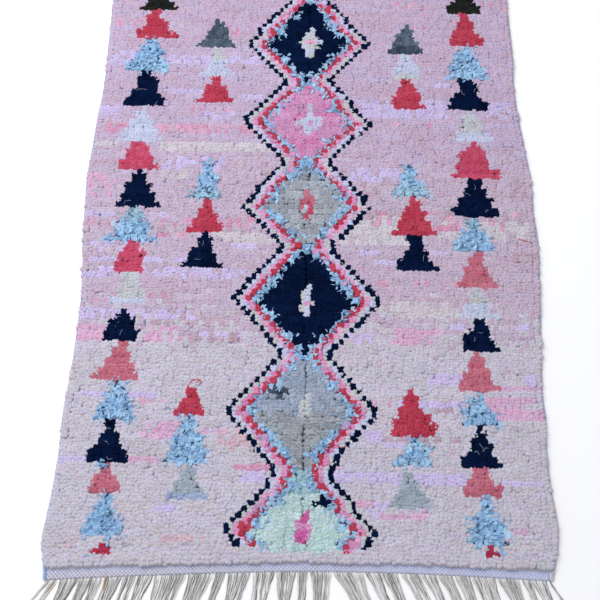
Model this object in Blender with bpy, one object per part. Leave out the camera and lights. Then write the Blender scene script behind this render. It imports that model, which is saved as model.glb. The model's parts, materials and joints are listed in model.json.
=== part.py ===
"""Hand-knotted berber rug, lying flat: pile field, overcast selvedges, woven end bands and warp fringe.

Metres, +Z up. X runs across the rug and Y along it, with the fringed end at -Y. The floor is at Z = 0,
and the origin is on the floor under the middle of the whole rug, fringe included.
"""
import bisect
import math
import random

import bmesh
import bpy

# Driving sizes. Places along the rug are counted from the middle of its fringed hem, and MM turns a table's
# millimetres into metres.
MM = 0.001
PIECE_GAP = 0.3 * MM
UNEVENNESS_SEED = 11

PILE_NEAR_END = 5 * MM
PILE_FAR_END = 1968 * MM
PILE_ROWS = 131
LINES_PER_ROW = 2
CREST_HEIGHT = 16.0 * MM
GROOVE_HEIGHT = 12.6 * MM
CREST_PLACE = 0.6                 # of one line spacing past the groove, so that each row falls steeply to -Y
CREST_UNEVENNESS = 0.7 * MM
ROW_WANDER = 1.3 * MM
SWELL_HEIGHT = 0.7 * MM
SWELL_LENGTH_ALONG = 0.34
SWELL_LENGTH_ACROSS = 0.27
SWELL_SLANT = 1.7                 # how far the swells' lines wave, in radians of their own length
SWELL_SLANT_LENGTH = 0.9

INNER_COLUMNS = 6
RIM_WIDTH = 10 * MM
RIM_CREST_HEIGHT = 9.6 * MM
RIM_GROOVE_HEIGHT = 7.8 * MM
RIM_LOCK_DEPTH = 1.8 * MM         # how far the grooves between the rim's locks cut in
SHOULDER_DROP = 1.3 * MM          # how much lower the pile is just inside its rim
BOW_REACH = 0.3                   # the near end's bow fades out over this length
BOW_PASSES = 3                    # X and Y depend on each other there, and settle in this many passes

SELVEDGE_WIDTH = 9.0 * MM
SELVEDGE_HEIGHT = 6.4 * MM
SELVEDGE_UNEVENNESS = 0.35 * MM
OUTLINE_START = -26 * MM
OUTLINE_STEPS = 45

BAND_THICKNESS = 3.2 * MM
FAR_HEM = 1995 * MM

BAND_PANELS = 60
STRANDS_PER_PANEL = 4
STRAND_WIDTH = 2.7 * MM
STRAND_TIP_WIDTH = 1.9 * MM
STRAND_HEIGHT = 2.4 * MM
STRAND_TIP_HEIGHT = 1.8 * MM
STRAND_LENGTH = 98 * MM
STRAND_LENGTH_SPREAD = 9 * MM
STRAND_SEGMENTS = 3
STRAND_WANDER = 0.25 * MM
LOCK_CLOSING = (0.32, 0.42)       # least and most that a lock's strands close up, as a share of their spacing
ROOT_STEP = 0.6 * MM

# The outline, selvedges included: place along the rug, left edge, right edge (mm)
OUTLINE = (
    (-26, -598, 588), (0, -601, 596), (40, -607, 606), (80, -613, 615), (130, -608, 618),
    (215, -601, 610), (300, -598, 608), (380, -599, 613), (450, -595, 610), (530, -590, 615),
    (610, -589, 620), (700, -588, 626), (790, -594, 631), (880, -603, 635), (970, -607, 630),
    (1060, -611, 632), (1160, -606, 623), (1260, -602, 614), (1360, -594, 607), (1510, -595, 611),
    (1680, -597, 608), (1850, -596, 607), (1995, -592, 602),
)

# The bowed near end: place across the rug, where the pile ends, where the fringe is rooted (mm)
NEAR_END = (
    (-610, 5, -21), (-450, 13, -11), (-300, 20, -3), (-120, 27, 5), (40, 30, 9), (200, 30, 9),
    (340, 28, 6), (480, 23, 1), (620, 18, -5),
)

# The locks that the fringe has worked into: where each ends along the roots, how far its tips lie to the side (mm)
FRINGE_LOCKS = (
    (-578, -78), (-560, -56), (-517, -36), (-488, -32), (-455, -29), (-415, -29), (-380, -30),
    (-338, -33), (-263, -28), (-196, -33), (-170, -31), (-110, -25), (-55, -15), (-7, -8), (25, -5),
    (77, -1), (148, 50), (190, 46), (232, 40), (281, 54), (319, 46), (360, 46), (398, 38),
    (459, 32), (515, 40), (541, 38), (579, 38), (620, 64),
)

# Node colours: name, sRGB red, green, blue (0 to 1), roughness
FINISHES = {
    "pile_wool": (0.80, 0.69, 0.77, 0.95),
    "overcast_yarn": (0.70, 0.75, 0.86, 0.90),
    "woven_band": (0.72, 0.72, 0.80, 0.90),
}


def smooth_at(xs, ys, x):
    """Height at x of the smooth curve through the points (xs, ys)."""
    last = len(xs) - 1
    i = min(max(bisect.bisect_right(xs, x) - 1, 0), last - 1)
    before = max(i - 1, 0)
    after = min(i + 2, last)
    span = xs[i + 1] - xs[i]
    t = min(max((x - xs[i]) / span, 0.0), 1.0)
    slope_in = (ys[i + 1] - ys[before]) / (xs[i + 1] - xs[before]) * span
    slope_out = (ys[after] - ys[i]) / (xs[after] - xs[i]) * span
    t2 = t * t
    t3 = t2 * t
    return ((2 * t3 - 3 * t2 + 1) * ys[i] + (t3 - 2 * t2 + t) * slope_in
            + (3 * t2 - 2 * t3) * ys[i + 1] + (t3 - t2) * slope_out)


def column(table, index):
    """One column of a table of millimetres, in metres."""
    return [row[index] * MM for row in table]


def straight_at(xs, ys, x):
    """Height at x of the straight runs that join the points (xs, ys)."""
    i = min(max(bisect.bisect_right(xs, x) - 1, 0), len(xs) - 2)
    t = (x - xs[i]) / (xs[i + 1] - xs[i])
    return ys[i] + (ys[i + 1] - ys[i]) * t


def outline_runs():
    """The outline as short straight runs: places along the rug, left edges, right edges."""
    along = column(OUTLINE, 0)
    step = (FAR_HEM - OUTLINE_START) / OUTLINE_STEPS
    places = [OUTLINE_START + step * i for i in range(OUTLINE_STEPS + 1)]
    left = [smooth_at(along, column(OUTLINE, 1), y) for y in places]
    right = [smooth_at(along, column(OUTLINE, 2), y) for y in places]
    return places, left, right


PLACES, LEFT_RUNS, RIGHT_RUNS = outline_runs()


def outer_edge(side, y):
    """X of the rug's outer edge at y: side is -1 for the left edge and 1 for the right edge."""
    return straight_at(PLACES, LEFT_RUNS if side < 0 else RIGHT_RUNS, y)


def cloth_edge(side, y):
    """X where the cloth between the selvedges ends at y."""
    return outer_edge(side, y) - side * (SELVEDGE_WIDTH + PIECE_GAP)


def near_pile_end(x):
    """Y where the pile ends over the near band."""
    return smooth_at(column(NEAR_END, 0), column(NEAR_END, 1), x)


def fringe_root(x):
    """Y where the fringe leaves the near band."""
    return smooth_at(column(NEAR_END, 0), column(NEAR_END, 2), x)


def new_object(name, mesh_builder, finish):
    """Make a named object of what mesh_builder puts in a bmesh, in the given finish."""
    bm = bmesh.new()
    mesh_builder(bm)
    bmesh.ops.recalc_face_normals(bm, faces=bm.faces[:])
    mesh = bpy.data.meshes.new(name)
    bm.to_mesh(mesh)
    bm.free()
    obj = bpy.data.objects.new(name, mesh)
    bpy.context.scene.collection.objects.link(obj)
    red, green, blue, roughness = FINISHES[finish]
    material = bpy.data.materials.new(name + "_" + finish)
    material.use_nodes = True
    shader = material.node_tree.nodes["Principled BSDF"]
    shader.inputs["Base Color"].default_value = (red ** 2.2, green ** 2.2, blue ** 2.2, 1.0)
    shader.inputs["Roughness"].default_value = roughness
    shader.inputs["Metallic"].default_value = 0.0
    mesh.materials.append(material)
    return obj


def sweep(bm, rings):
    """Sweep a closed section through rings of points, pushing its end face on from ring to ring."""
    verts = bmesh.ops.create_circle(bm, cap_ends=True, segments=len(rings[0]), radius=1.0)["verts"]
    for vert, point in zip(verts, rings[0]):
        vert.co = point
    start_cap = verts[0].link_faces[0]
    pushed = bmesh.ops.extrude_face_region(bm, geom=[start_cap])["geom"]
    face = next(item for item in pushed if isinstance(item, bmesh.types.BMFace))
    for ring in rings[1:]:
        verts = [min(face.verts, key=lambda vert: (vert.co - old.co).length) for old in verts]
        for vert, point in zip(verts, ring):
            vert.co = point
        if ring is not rings[-1]:
            face = bmesh.ops.extrude_discrete_faces(bm, faces=[face])["faces"][0]


# Pile field


def column_stations():
    """The field's columns: share of the width from the left edge, and how far in from that place each is."""
    inner = [(i / INNER_COLUMNS, 0.0) for i in range(1, INNER_COLUMNS)]
    return [(0.0, 0.0), (0.0, RIM_WIDTH)] + inner + [(1.0, -RIM_WIDTH), (1.0, 0.0)]


def line_place(line):
    """Place along the rug of one of the lines that make the rows, before the near end's bow."""
    row, crest = divmod(line, LINES_PER_ROW)
    pitch = (PILE_FAR_END - PILE_NEAR_END) / PILE_ROWS
    return PILE_NEAR_END + pitch * (row + crest * CREST_PLACE / LINES_PER_ROW)


def bowed_place(x, y):
    """Y of a point of the field at x, with the near end's bow fading out along the rug."""
    fade = max(0.0, 1.0 - (y - PILE_NEAR_END) / BOW_REACH)
    return y + (near_pile_end(x) - PILE_NEAR_END) * fade * fade


def field_point(station, line):
    """X and Y of the point of the field's base in one column on one line."""
    share, inset = station
    y = line_place(line)
    for _ in range(BOW_PASSES):
        left = cloth_edge(-1, y)
        x = left + (cloth_edge(1, y) - left) * share + inset
        y = bowed_place(x, line_place(line))
    return x, y


def near_front_line():
    """The field's front edge on the floor, as the points of its columns."""
    points = [field_point(station, 0) for station in column_stations()]
    return [point[0] for point in points], [point[1] for point in points]


def pile_height(x, y, crest, at_rim, near_rim, chance):
    """Height of the pile at one point: a row's crest or the groove before it, on the field's swells."""
    if at_rim:
        return RIM_CREST_HEIGHT if crest else RIM_GROOVE_HEIGHT
    slant = SWELL_SLANT * math.sin(math.tau * x / SWELL_SLANT_LENGTH)
    along = math.sin(math.tau * y / SWELL_LENGTH_ALONG + slant)
    across = math.sin(math.tau * x / SWELL_LENGTH_ACROSS)
    height = (CREST_HEIGHT if crest else GROOVE_HEIGHT) - (SHOULDER_DROP if near_rim else 0.0)
    return height + SWELL_HEIGHT * (along + across) / 2 + chance.uniform(-CREST_UNEVENNESS, CREST_UNEVENNESS)


def build_field(bm):
    """The knotted field: a slab with a raised rib for each row of knots and a lock at each end of a row."""
    chance = random.Random(UNEVENNESS_SEED)
    stations = column_stations()
    lines = PILE_ROWS * LINES_PER_ROW
    last = len(stations) - 1
    grid = bmesh.ops.create_grid(bm, x_segments=last, y_segments=lines, size=1.0)
    verts = sorted(grid["verts"], key=lambda vert: (round(vert.co.y, 5), round(vert.co.x, 5)))
    base = bm.faces[:]
    top = bmesh.ops.extrude_face_region(bm, geom=base)["geom"]
    top_verts = [item for item in top if isinstance(item, bmesh.types.BMVert)]
    top_verts.sort(key=lambda vert: (round(vert.co.y, 5), round(vert.co.x, 5)))
    for index, (low, high) in enumerate(zip(verts, top_verts)):
        line, place = divmod(index, last + 1)
        crest = line % LINES_PER_ROW
        x, y = field_point(stations[place], line)
        low.co = (x, y, 0.0)
        at_rim = place in (0, last) or line in (0, lines)
        near_rim = place in (1, last - 1)
        lock = 0.0 if crest or line in (0, lines) else RIM_LOCK_DEPTH
        side = {0: 1.0, last: -1.0}.get(place, 0.0)
        wander = 0.0 if at_rim else chance.uniform(-ROW_WANDER, ROW_WANDER)
        high.co = (x + side * lock, y + wander, pile_height(x, y, crest, at_rim, near_rim, chance))
    merge_base(bm)


def merge_base(bm):
    """Past the near end's bow, join the faces of the flat base across the field."""
    def is_inner_seam(edge):
        a, b = edge.verts
        flat = a.co.z == 0.0 and b.co.z == 0.0 and all(vert.co.z == 0.0 for face in edge.link_faces
                                                       for vert in face.verts)
        past_bow = min(a.co.y, b.co.y) > PILE_NEAR_END + BOW_REACH
        return flat and past_bow and abs(a.co.y - b.co.y) > abs(a.co.x - b.co.x)

    seams = [edge for edge in bm.edges if is_inner_seam(edge)]
    bmesh.ops.dissolve_edges(bm, edges=seams, use_verts=True)


# Selvedges


def selvedge_ring(side, y, swell):
    """Section of an overcast edge at y: flat below and inside, rounded above and outside."""
    outer = outer_edge(side, y)
    width = SELVEDGE_WIDTH
    height = SELVEDGE_HEIGHT + swell
    section = ((0.0, 0.0), (0.06, 0.62), (0.32, 1.0), (0.72, 0.97), (0.97, 0.60), (1.0, 0.0))
    return [(outer - side * width * across, y, height * up) for across, up in section]


def build_selvedge(side):
    """A builder for the overcast edge on one side, from the near band's root line to the far hem."""
    def build(bm):
        chance = random.Random(UNEVENNESS_SEED + side)
        start = fringe_root(outer_edge(side, 0.0)) + 1.0 * MM
        places = [start] + [y for y in PLACES if y > start + SELVEDGE_WIDTH]
        rings = []
        for y in places:
            rings.append(selvedge_ring(side, y, chance.uniform(-SELVEDGE_UNEVENNESS, SELVEDGE_UNEVENNESS)))
        sweep(bm, rings)
    return build


# End bands and fringe


def build_far_band(bm):
    """The plain woven band between the pile and the far hem, its ends following the selvedges."""
    rings = []
    for share, inset in column_stations():
        near_x, near_y = field_point((share, inset), PILE_ROWS * LINES_PER_ROW)
        left = cloth_edge(-1, FAR_HEM)
        far_x = left + (cloth_edge(1, FAR_HEM) - left) * share + inset
        rings.append(far_band_ring(near_x, near_y + PIECE_GAP, far_x))
    sweep(bm, rings)


def far_band_ring(near_x, near_y, far_x):
    """Section of the far band across the rug: flat below, its hem turned and rounded."""
    lip = BAND_THICKNESS / 3
    return [(near_x, near_y, 0.0), (far_x, FAR_HEM, 0.0), (far_x, FAR_HEM, BAND_THICKNESS - lip),
            (far_x, FAR_HEM - lip, BAND_THICKNESS), (near_x, near_y, BAND_THICKNESS)]


def near_band_ends():
    """Left and right ends of the near band at the fringe's roots, between the selvedges."""
    return [cloth_edge(side, fringe_root(cloth_edge(side, 0.0))) for side in (-1, 1)]


def strand_pitch():
    """Spacing of the strands' roots."""
    left, right = near_band_ends()
    return (right - left) / (BAND_PANELS * STRANDS_PER_PANEL)


def strand_locks():
    """For each strand in order: which lock it is in, and its place from that lock's middle, in strands."""
    left, _ = near_band_ends()
    ends = column(FRINGE_LOCKS, 0)
    strands = range(BAND_PANELS * STRANDS_PER_PANEL)
    locks = [bisect.bisect_left(ends, left + (strand + 0.5) * strand_pitch()) for strand in strands]
    return [(lock, strand - locks.index(lock) - (locks.count(lock) - 1) / 2) for strand, lock in zip(strands, locks)]


def strand_route(lock, from_middle, chance):
    """Sideways step, reach and share of the length at each segment's end of one strand."""
    lock_chance = random.Random(UNEVENNESS_SEED * 100 + lock)
    closing = -from_middle * strand_pitch() * lock_chance.uniform(*LOCK_CLOSING)
    reach = STRAND_LENGTH + lock_chance.uniform(-STRAND_LENGTH_SPREAD, STRAND_LENGTH_SPREAD)
    reach += chance.uniform(-STRAND_LENGTH_SPREAD, STRAND_LENGTH_SPREAD) / 2
    lean = FRINGE_LOCKS[lock][1] * MM * reach / STRAND_LENGTH
    steps = []
    for segment in range(1, STRAND_SEGMENTS + 1):
        t = segment / STRAND_SEGMENTS
        bend = 1.0 - (1.0 - t) * (1.0 - t)
        side = lean * t + closing * bend + chance.uniform(-STRAND_WANDER, STRAND_WANDER)
        steps.append((side, -reach * t, t))
    return steps


def build_fringed_band(bm):
    """The near woven band with the warp ends that leave it, each a level strand fused at its root."""
    bmesh.ops.create_grid(bm, x_segments=BAND_PANELS, y_segments=1, size=1.0)
    top = bmesh.ops.extrude_face_region(bm, geom=bm.faces[:])["geom"]
    for item in top:
        if isinstance(item, bmesh.types.BMVert):
            item.co.z = BAND_THICKNESS
    bmesh.ops.recalc_face_normals(bm, faces=bm.faces[:])
    front = {edge for face in bm.faces if face.normal.y < -0.5 for edge in face.edges
             if abs(edge.verts[0].co.z - edge.verts[1].co.z) < BAND_THICKNESS / 2}
    bmesh.ops.subdivide_edges(bm, edges=list(front), cuts=2 * STRANDS_PER_PANEL - 1)

    left, right = near_band_ends()
    pitch = strand_pitch()
    front_xs, front_ys = near_front_line()
    strands = BAND_PANELS * STRANDS_PER_PANEL
    roots = []
    for vert in bm.verts:
        cell = (vert.co.x + 1.0) / 2.0 * strands
        if vert.co.y > 0.0:
            x = front_xs[0] + (front_xs[-1] - front_xs[0]) * cell / strands
            vert.co.x = x
            vert.co.y = straight_at(front_xs, front_ys, x) - PIECE_GAP
            continue
        strand = math.floor(cell + 0.25)
        starts = abs(cell - strand) < 0.25
        x = min(left + strand * pitch + (0.0 if starts else STRAND_WIDTH), right)
        vert.co.x = x
        vert.co.y = fringe_root(x) - (ROOT_STEP if starts else 0.0)
        if starts and vert.co.z == 0.0 and strand < strands:
            roots.append((x, vert))
    extrude_strands(bm, [vert for _, vert in sorted(roots, key=lambda root: root[0])])


def extrude_strands(bm, roots):
    """From each root's face in the near band's front, push a strand out along its route."""
    chance = random.Random(UNEVENNESS_SEED * 7)
    for vert, (lock, from_middle) in zip(roots, strand_locks()):
        face = next(face for face in vert.link_faces if is_root_face(face, vert))
        centre = face.calc_center_median().copy()
        for side, reach, t in strand_route(lock, from_middle, chance):
            face = bmesh.ops.extrude_discrete_faces(bm, faces=[face])["faces"][0]
            half = (STRAND_WIDTH + (STRAND_TIP_WIDTH - STRAND_WIDTH) * t) / 2
            height = STRAND_HEIGHT + (STRAND_TIP_HEIGHT - STRAND_HEIGHT) * t
            middle = face.calc_center_median()
            for corner in face.verts:
                corner.co = (centre.x + side + math.copysign(half, corner.co.x - middle.x), centre.y + reach,
                             height if corner.co.z > middle.z else 0.0)


def is_root_face(face, vert):
    """Whether the face is the upright one that leads from a strand's first corner to its other side."""
    xs = [corner.co.x for corner in face.verts]
    ys = [corner.co.y for corner in face.verts]
    return len(xs) == 4 and min(xs) == vert.co.x and max(xs) - min(xs) < STRAND_WIDTH * 1.01 \
        and max(ys) - min(ys) < STRAND_WIDTH


# The whole rug


def clear_scene():
    """Remove every object, so that the rug is built in an empty scene."""
    for obj in list(bpy.data.objects):
        bpy.data.objects.remove(obj, do_unlink=True)


def centre_on_origin(objects):
    """Shift the whole rug so that the origin is on the floor under the middle of its box."""
    points = [vert.co for obj in objects for vert in obj.data.vertices]
    middle_x = (min(p.x for p in points) + max(p.x for p in points)) / 2
    middle_y = (min(p.y for p in points) + max(p.y for p in points)) / 2
    for obj in objects:
        obj.location = (-middle_x, -middle_y, 0.0)


def build_rug():
    """Build the five pieces of the rug."""
    pieces = [
        new_object("pile_field", build_field, "pile_wool"),
        new_object("selvedge_left", build_selvedge(-1), "overcast_yarn"),
        new_object("selvedge_right", build_selvedge(1), "overcast_yarn"),
        new_object("near_band_fringe", build_fringed_band, "woven_band"),
        new_object("far_band", build_far_band, "woven_band"),
    ]
    centre_on_origin(pieces)


clear_scene()
build_rug()
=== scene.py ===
"""Looks of a hand-knotted berber rug: every knot of its pile, its ground weave, selvedges, bands and fringe.

The rug lies flat on a pale floor. Sizes are millimetres, counted from the middle of the fringed hem, until
RugPlan.spot turns them into the frame's metres.
"""
import json
import logging
import math
import random
from bisect import bisect_left, bisect_right
from dataclasses import dataclass, field
from enum import Enum
from typing import NamedTuple

import bmesh
import bpy
from mathutils import Matrix, Vector

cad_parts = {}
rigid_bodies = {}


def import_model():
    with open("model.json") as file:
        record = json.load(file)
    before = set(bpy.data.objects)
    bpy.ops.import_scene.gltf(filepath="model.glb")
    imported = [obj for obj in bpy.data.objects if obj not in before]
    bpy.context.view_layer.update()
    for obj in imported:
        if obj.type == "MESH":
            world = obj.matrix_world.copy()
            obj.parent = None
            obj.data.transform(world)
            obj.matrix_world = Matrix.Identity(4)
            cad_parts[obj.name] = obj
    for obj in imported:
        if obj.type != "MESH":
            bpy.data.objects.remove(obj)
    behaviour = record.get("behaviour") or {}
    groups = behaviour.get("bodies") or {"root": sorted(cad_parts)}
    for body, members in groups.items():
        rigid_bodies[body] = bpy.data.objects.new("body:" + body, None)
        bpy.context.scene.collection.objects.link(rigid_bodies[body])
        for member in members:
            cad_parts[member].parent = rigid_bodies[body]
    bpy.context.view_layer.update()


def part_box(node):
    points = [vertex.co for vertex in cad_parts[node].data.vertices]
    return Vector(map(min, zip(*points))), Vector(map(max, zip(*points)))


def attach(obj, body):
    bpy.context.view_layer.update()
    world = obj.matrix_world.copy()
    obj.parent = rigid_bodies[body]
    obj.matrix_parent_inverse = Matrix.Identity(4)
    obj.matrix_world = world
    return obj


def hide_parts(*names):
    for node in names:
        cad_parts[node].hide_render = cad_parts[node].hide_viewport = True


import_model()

MM = 0.001
BODY = "root"
log = logging.getLogger("berber_rug")

Rgb = tuple[float, float, float]


def linear(code: str) -> Rgb:
    """Turn an sRGB hex colour into linear light.

    Args:
        code: Colour as #rrggbb.

    Returns:
        Red, green and blue from 0 to 1, linear.
    """
    parts = [int(code[i:i + 2], 16) / 255 for i in (1, 3, 5)]
    red, green, blue = (p / 12.92 if p <= 0.04045 else ((p + 0.055) / 1.055) ** 2.4 for p in parts)
    return red, green, blue


def blend(a: float, b: float, share: float) -> float:
    """Value share of the way from a to b."""
    return a + (b - a) * share


def blend_rgb(a: Rgb, b: Rgb, share: float) -> Rgb:
    """Colour share of the way from a to b."""
    return blend(a[0], b[0], share), blend(a[1], b[1], share), blend(a[2], b[2], share)


# The rug's plan


@dataclass(frozen=True)
class Curve:
    """A smooth curve through the points of a short table, in millimetres."""

    places: tuple[float, ...]
    values: tuple[float, ...]

    @classmethod
    def of(cls, table: tuple[tuple[float, ...], ...], column: int) -> "Curve":
        """Curve through one column of a table whose first column holds the places."""
        return cls(tuple(row[0] for row in table), tuple(row[column] for row in table))

    def at(self, place: float) -> float:
        """Height of the curve.

        Args:
            place: Where along the curve, in the table's first column.

        Returns:
            The value there, held level past the table's ends.
        """
        xs, ys = self.places, self.values
        last = len(xs) - 1
        i = min(max(bisect_right(xs, place) - 1, 0), last - 1)
        before, after = max(i - 1, 0), min(i + 2, last)
        span = xs[i + 1] - xs[i]
        t = min(max((place - xs[i]) / span, 0.0), 1.0)
        slope_in = (ys[i + 1] - ys[before]) / (xs[i + 1] - xs[before]) * span
        slope_out = (ys[after] - ys[i]) / (xs[after] - xs[i]) * span
        return (ys[i] * (2 * t ** 3 - 3 * t ** 2 + 1) + slope_in * (t ** 3 - 2 * t ** 2 + t)
                + ys[i + 1] * (3 * t ** 2 - 2 * t ** 3) + slope_out * (t ** 3 - t ** 2))


# Outline with the selvedges: place along the rug, left edge, right edge
OUTLINE = (
    (-26, -598, 588), (0, -601, 596), (40, -607, 606), (80, -613, 615), (130, -608, 618),
    (215, -601, 610), (300, -598, 608), (380, -599, 613), (450, -595, 610), (530, -590, 615),
    (610, -589, 620), (700, -588, 626), (790, -594, 631), (880, -603, 635), (970, -607, 630),
    (1060, -611, 632), (1160, -606, 623), (1260, -602, 614), (1360, -594, 607), (1510, -595, 611),
    (1680, -597, 608), (1850, -596, 607), (1995, -592, 602),
)

# Bowed near end: place across the rug, where the pile ends, where the fringe is rooted
NEAR_END = (
    (-610, 5, -21), (-450, 13, -11), (-300, 20, -3), (-120, 27, 5), (40, 30, 9), (200, 30, 9),
    (340, 28, 6), (480, 23, 1), (620, 18, -5),
)

# The locks that the fringe has worked into: where each ends along the roots, how far its tips lie to the side
FRINGE_LOCKS = (
    (-578, -78), (-560, -56), (-517, -36), (-488, -32), (-455, -29), (-415, -29), (-380, -30),
    (-338, -33), (-263, -28), (-196, -33), (-170, -31), (-110, -25), (-55, -15), (-7, -8), (25, -5),
    (77, -1), (148, 50), (190, 46), (232, 40), (281, 54), (319, 46), (360, 46), (398, 38),
    (459, 32), (515, 40), (541, 38), (579, 38), (620, 64),
)


@dataclass(frozen=True)
class RugPlan:
    """Outline, rows and warp of the whole rug, in millimetres."""

    pile_near_end: float = 5.0
    pile_far_end: float = 1968.0
    far_hem: float = 1995.0
    rows: int = 131
    knots: int = 92
    bow_reach: float = 300.0
    selvedge_width: float = 9.0
    piece_gap: float = 0.3
    weave_top: float = 3.0
    left_edge: Curve = Curve.of(OUTLINE, 1)
    right_edge: Curve = Curve.of(OUTLINE, 2)
    near_pile: Curve = Curve.of(NEAR_END, 1)
    near_root: Curve = Curve.of(NEAR_END, 2)

    @property
    def row_pitch(self) -> float:
        """Spacing of the rows of knots."""
        return (self.pile_far_end - self.pile_near_end) / self.rows

    def outer_edge(self, side: int, y: float) -> float:
        """X of the rug's outer edge at y, on the left (-1) or right (1) side."""
        return (self.left_edge if side < 0 else self.right_edge).at(y)

    def cloth_edge(self, side: int, y: float) -> float:
        """X where the cloth between the selvedges ends at y."""
        return self.outer_edge(side, y) - side * (self.selvedge_width + self.piece_gap)

    def across(self, share: float, y: float) -> float:
        """X of a point that lies share of the way from the cloth's left edge to its right one."""
        return blend(self.cloth_edge(-1, y), self.cloth_edge(1, y), share)

    def bowed(self, x: float, y: float) -> float:
        """Y of a point of the field once the near end's bow is put in."""
        fade = max(0.0, 1.0 - (y - self.pile_near_end) / self.bow_reach)
        return y + (self.near_pile.at(x) - self.pile_near_end) * fade * fade

    def field_spot(self, share: float, rows_up: float) -> tuple[float, float]:
        """X and Y of a point of the field, from its share of the width and its count of rows.

        Args:
            share: Share of the way from the left edge to the right one.
            rows_up: Rows from the fringe.

        Returns:
            X and y in mm.
        """
        y = self.pile_near_end + rows_up * self.row_pitch
        x = self.across(share, y)
        return x, self.bowed(x, y)

    def spot(self, x: float, y: float, z: float) -> Vector:
        """A point in millimetres from the hem's middle, in the frame's metres."""
        return Vector((x * MM, y * MM, z * MM)) + HEM_MIDDLE


PLAN = RugPlan()
# Where the hem's middle lies in the frame, read from the frame's own solids
HEM_MIDDLE = Vector((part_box("selvedge_right")[1][0] - max(row[2] for row in OUTLINE) * MM,
                     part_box("pile_field")[1][1] - PLAN.pile_far_end * MM, 0.0))


# Yarns and their dyes


class Stock(Enum):
    """What a knot is tied from."""

    WOOL = "handspun wool"
    RAG = "satin rag strip"


@dataclass(frozen=True)
class Dye:
    """One yarn as it left the dye pot: the shades that its length drifts between."""

    shades: tuple[str, ...]
    stock: Stock = Stock.WOOL
    depth: float = 0.07

    def draw(self, chance: random.Random) -> Rgb:
        """Colour of one knot, between two of the shades and a little lighter or darker.

        Args:
            chance: The chances that vary it.

        Returns:
            The colour.
        """
        first, second = chance.choice(self.shades), chance.choice(self.shades)
        red, green, blue = blend_rgb(linear(first), linear(second), chance.random())
        light = 1.0 + chance.uniform(-self.depth, self.depth)
        return red * light, green * light, blue * light


class Yarn(Enum):
    """The weaver's yarns."""

    LILAC = Dye(("#beb0ce", "#c0abc2", "#bbaecb", "#c2aec4", "#bda4ba"))
    BLUSH = Dye(("#c1b0c5", "#c0abbf", "#bdb0c7", "#c2b4c8", "#bba6ba"))
    ASH = Dye(("#c2becd", "#c5c0ce", "#bebac6", "#c4bfd3", "#c2bac3"))
    ROSE = Dye(("#d0a0bd", "#d2a7c0", "#cb9ab8", "#d4afc8", "#c68ba9"))
    PINK = Dye(("#d1a8c8", "#d2afcc", "#cda3c0", "#ccb1ce"))
    LAVENDER = Dye(("#c6badf", "#c3b7dc", "#c9bee1", "#c0b3d9"))
    MAUVE = Dye(("#bba4b8", "#b7a1b2", "#c0aabb", "#b29bab"))
    SAND = Dye(("#c8c1cb", "#c5bdc8", "#cbc6d1", "#c3bac4"))
    SALMON = Dye(("#c9aebd", "#c7b1c0", "#cdb3bf"))
    CREAM = Dye(("#babfc8", "#bdbdbf", "#bdc1ca", "#b7b8c0"))
    WHITE = Dye(("#bec4dd", "#bbc0db", "#c3c9df", "#b8bdd5"))
    NAVY = Dye(("#0a1736", "#08132e", "#0c1b3e"), depth=0.2)
    GREEN = Dye(("#242826", "#1e2324", "#2b2c2a", "#1a1f1f"), depth=0.2)
    CHARCOAL = Dye(("#485569", "#374352", "#59687b", "#667382", "#323d4d"), depth=0.2)
    RED = Dye(("#b73e55", "#b03850", "#bb465e", "#aa3349"), depth=0.1)
    BERRY = Dye(("#c04c6a", "#bb4464", "#c65877", "#b33f5d"), depth=0.1)
    CORAL = Dye(("#bd6f82", "#b9677b", "#c17789", "#b45f73"), depth=0.1)
    WINE = Dye(("#a52a46", "#9b2440", "#ae3350"), depth=0.1)
    BORDER_PINK = Dye(("#d093bd", "#d4a6cc", "#c986b0", "#d9b3d3", "#d481ac"), depth=0.1)
    CARNATION = Dye(("#ce8cba", "#c794bc", "#d19ec5", "#c18fb6", "#cc7bb0"), depth=0.1)
    MAGENTA = Dye(("#c45c9e", "#cb69a8", "#bb4f92"), depth=0.1)
    SKY = Dye(("#91b7db", "#87aed4", "#9dc1df", "#82a9d1", "#a6c9e3"), Stock.RAG, 0.09)
    DUSTY_SKY = Dye(("#93b6cf", "#8caec8", "#9dbfd7", "#a5c2d2"), Stock.RAG, 0.08)
    HEATHER = Dye(("#aaafb9", "#979da8", "#b8bcc5", "#8a909c", "#acb2bf"), depth=0.14)
    SLATE = Dye(("#98a4b7", "#8f9cb2", "#a4afc2", "#8793a9", "#aab0c5"), depth=0.12)
    PEWTER = Dye(("#a1a5ae", "#949ba5", "#adb2b8", "#8a919c"), depth=0.12)
    DOVE = Dye(("#9ea9b8", "#98a5b2", "#a8b1c0", "#929fa9"), depth=0.1)
    HAZE = Dye(("#96a5c4", "#8fa0c1", "#9eacc9"), depth=0.08)
    MINT = Dye(("#bed7d8", "#b5cecf", "#c7dcde", "#aac7c6", "#c1d0da"), depth=0.1)
    TEAL = Dye(("#8fb3c0", "#a0bfca", "#82a7b6"), depth=0.12)


# The knot chart


class Tree(NamedTuple):
    """A small stepped triangle: middle, foot, height, width, yarn, the foot's yarn and how high that goes."""

    x: float
    foot: float
    height: float
    width: float
    yarn: Yarn
    foot_yarn: Yarn | None = None
    foot_share: float = 0.0


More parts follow.
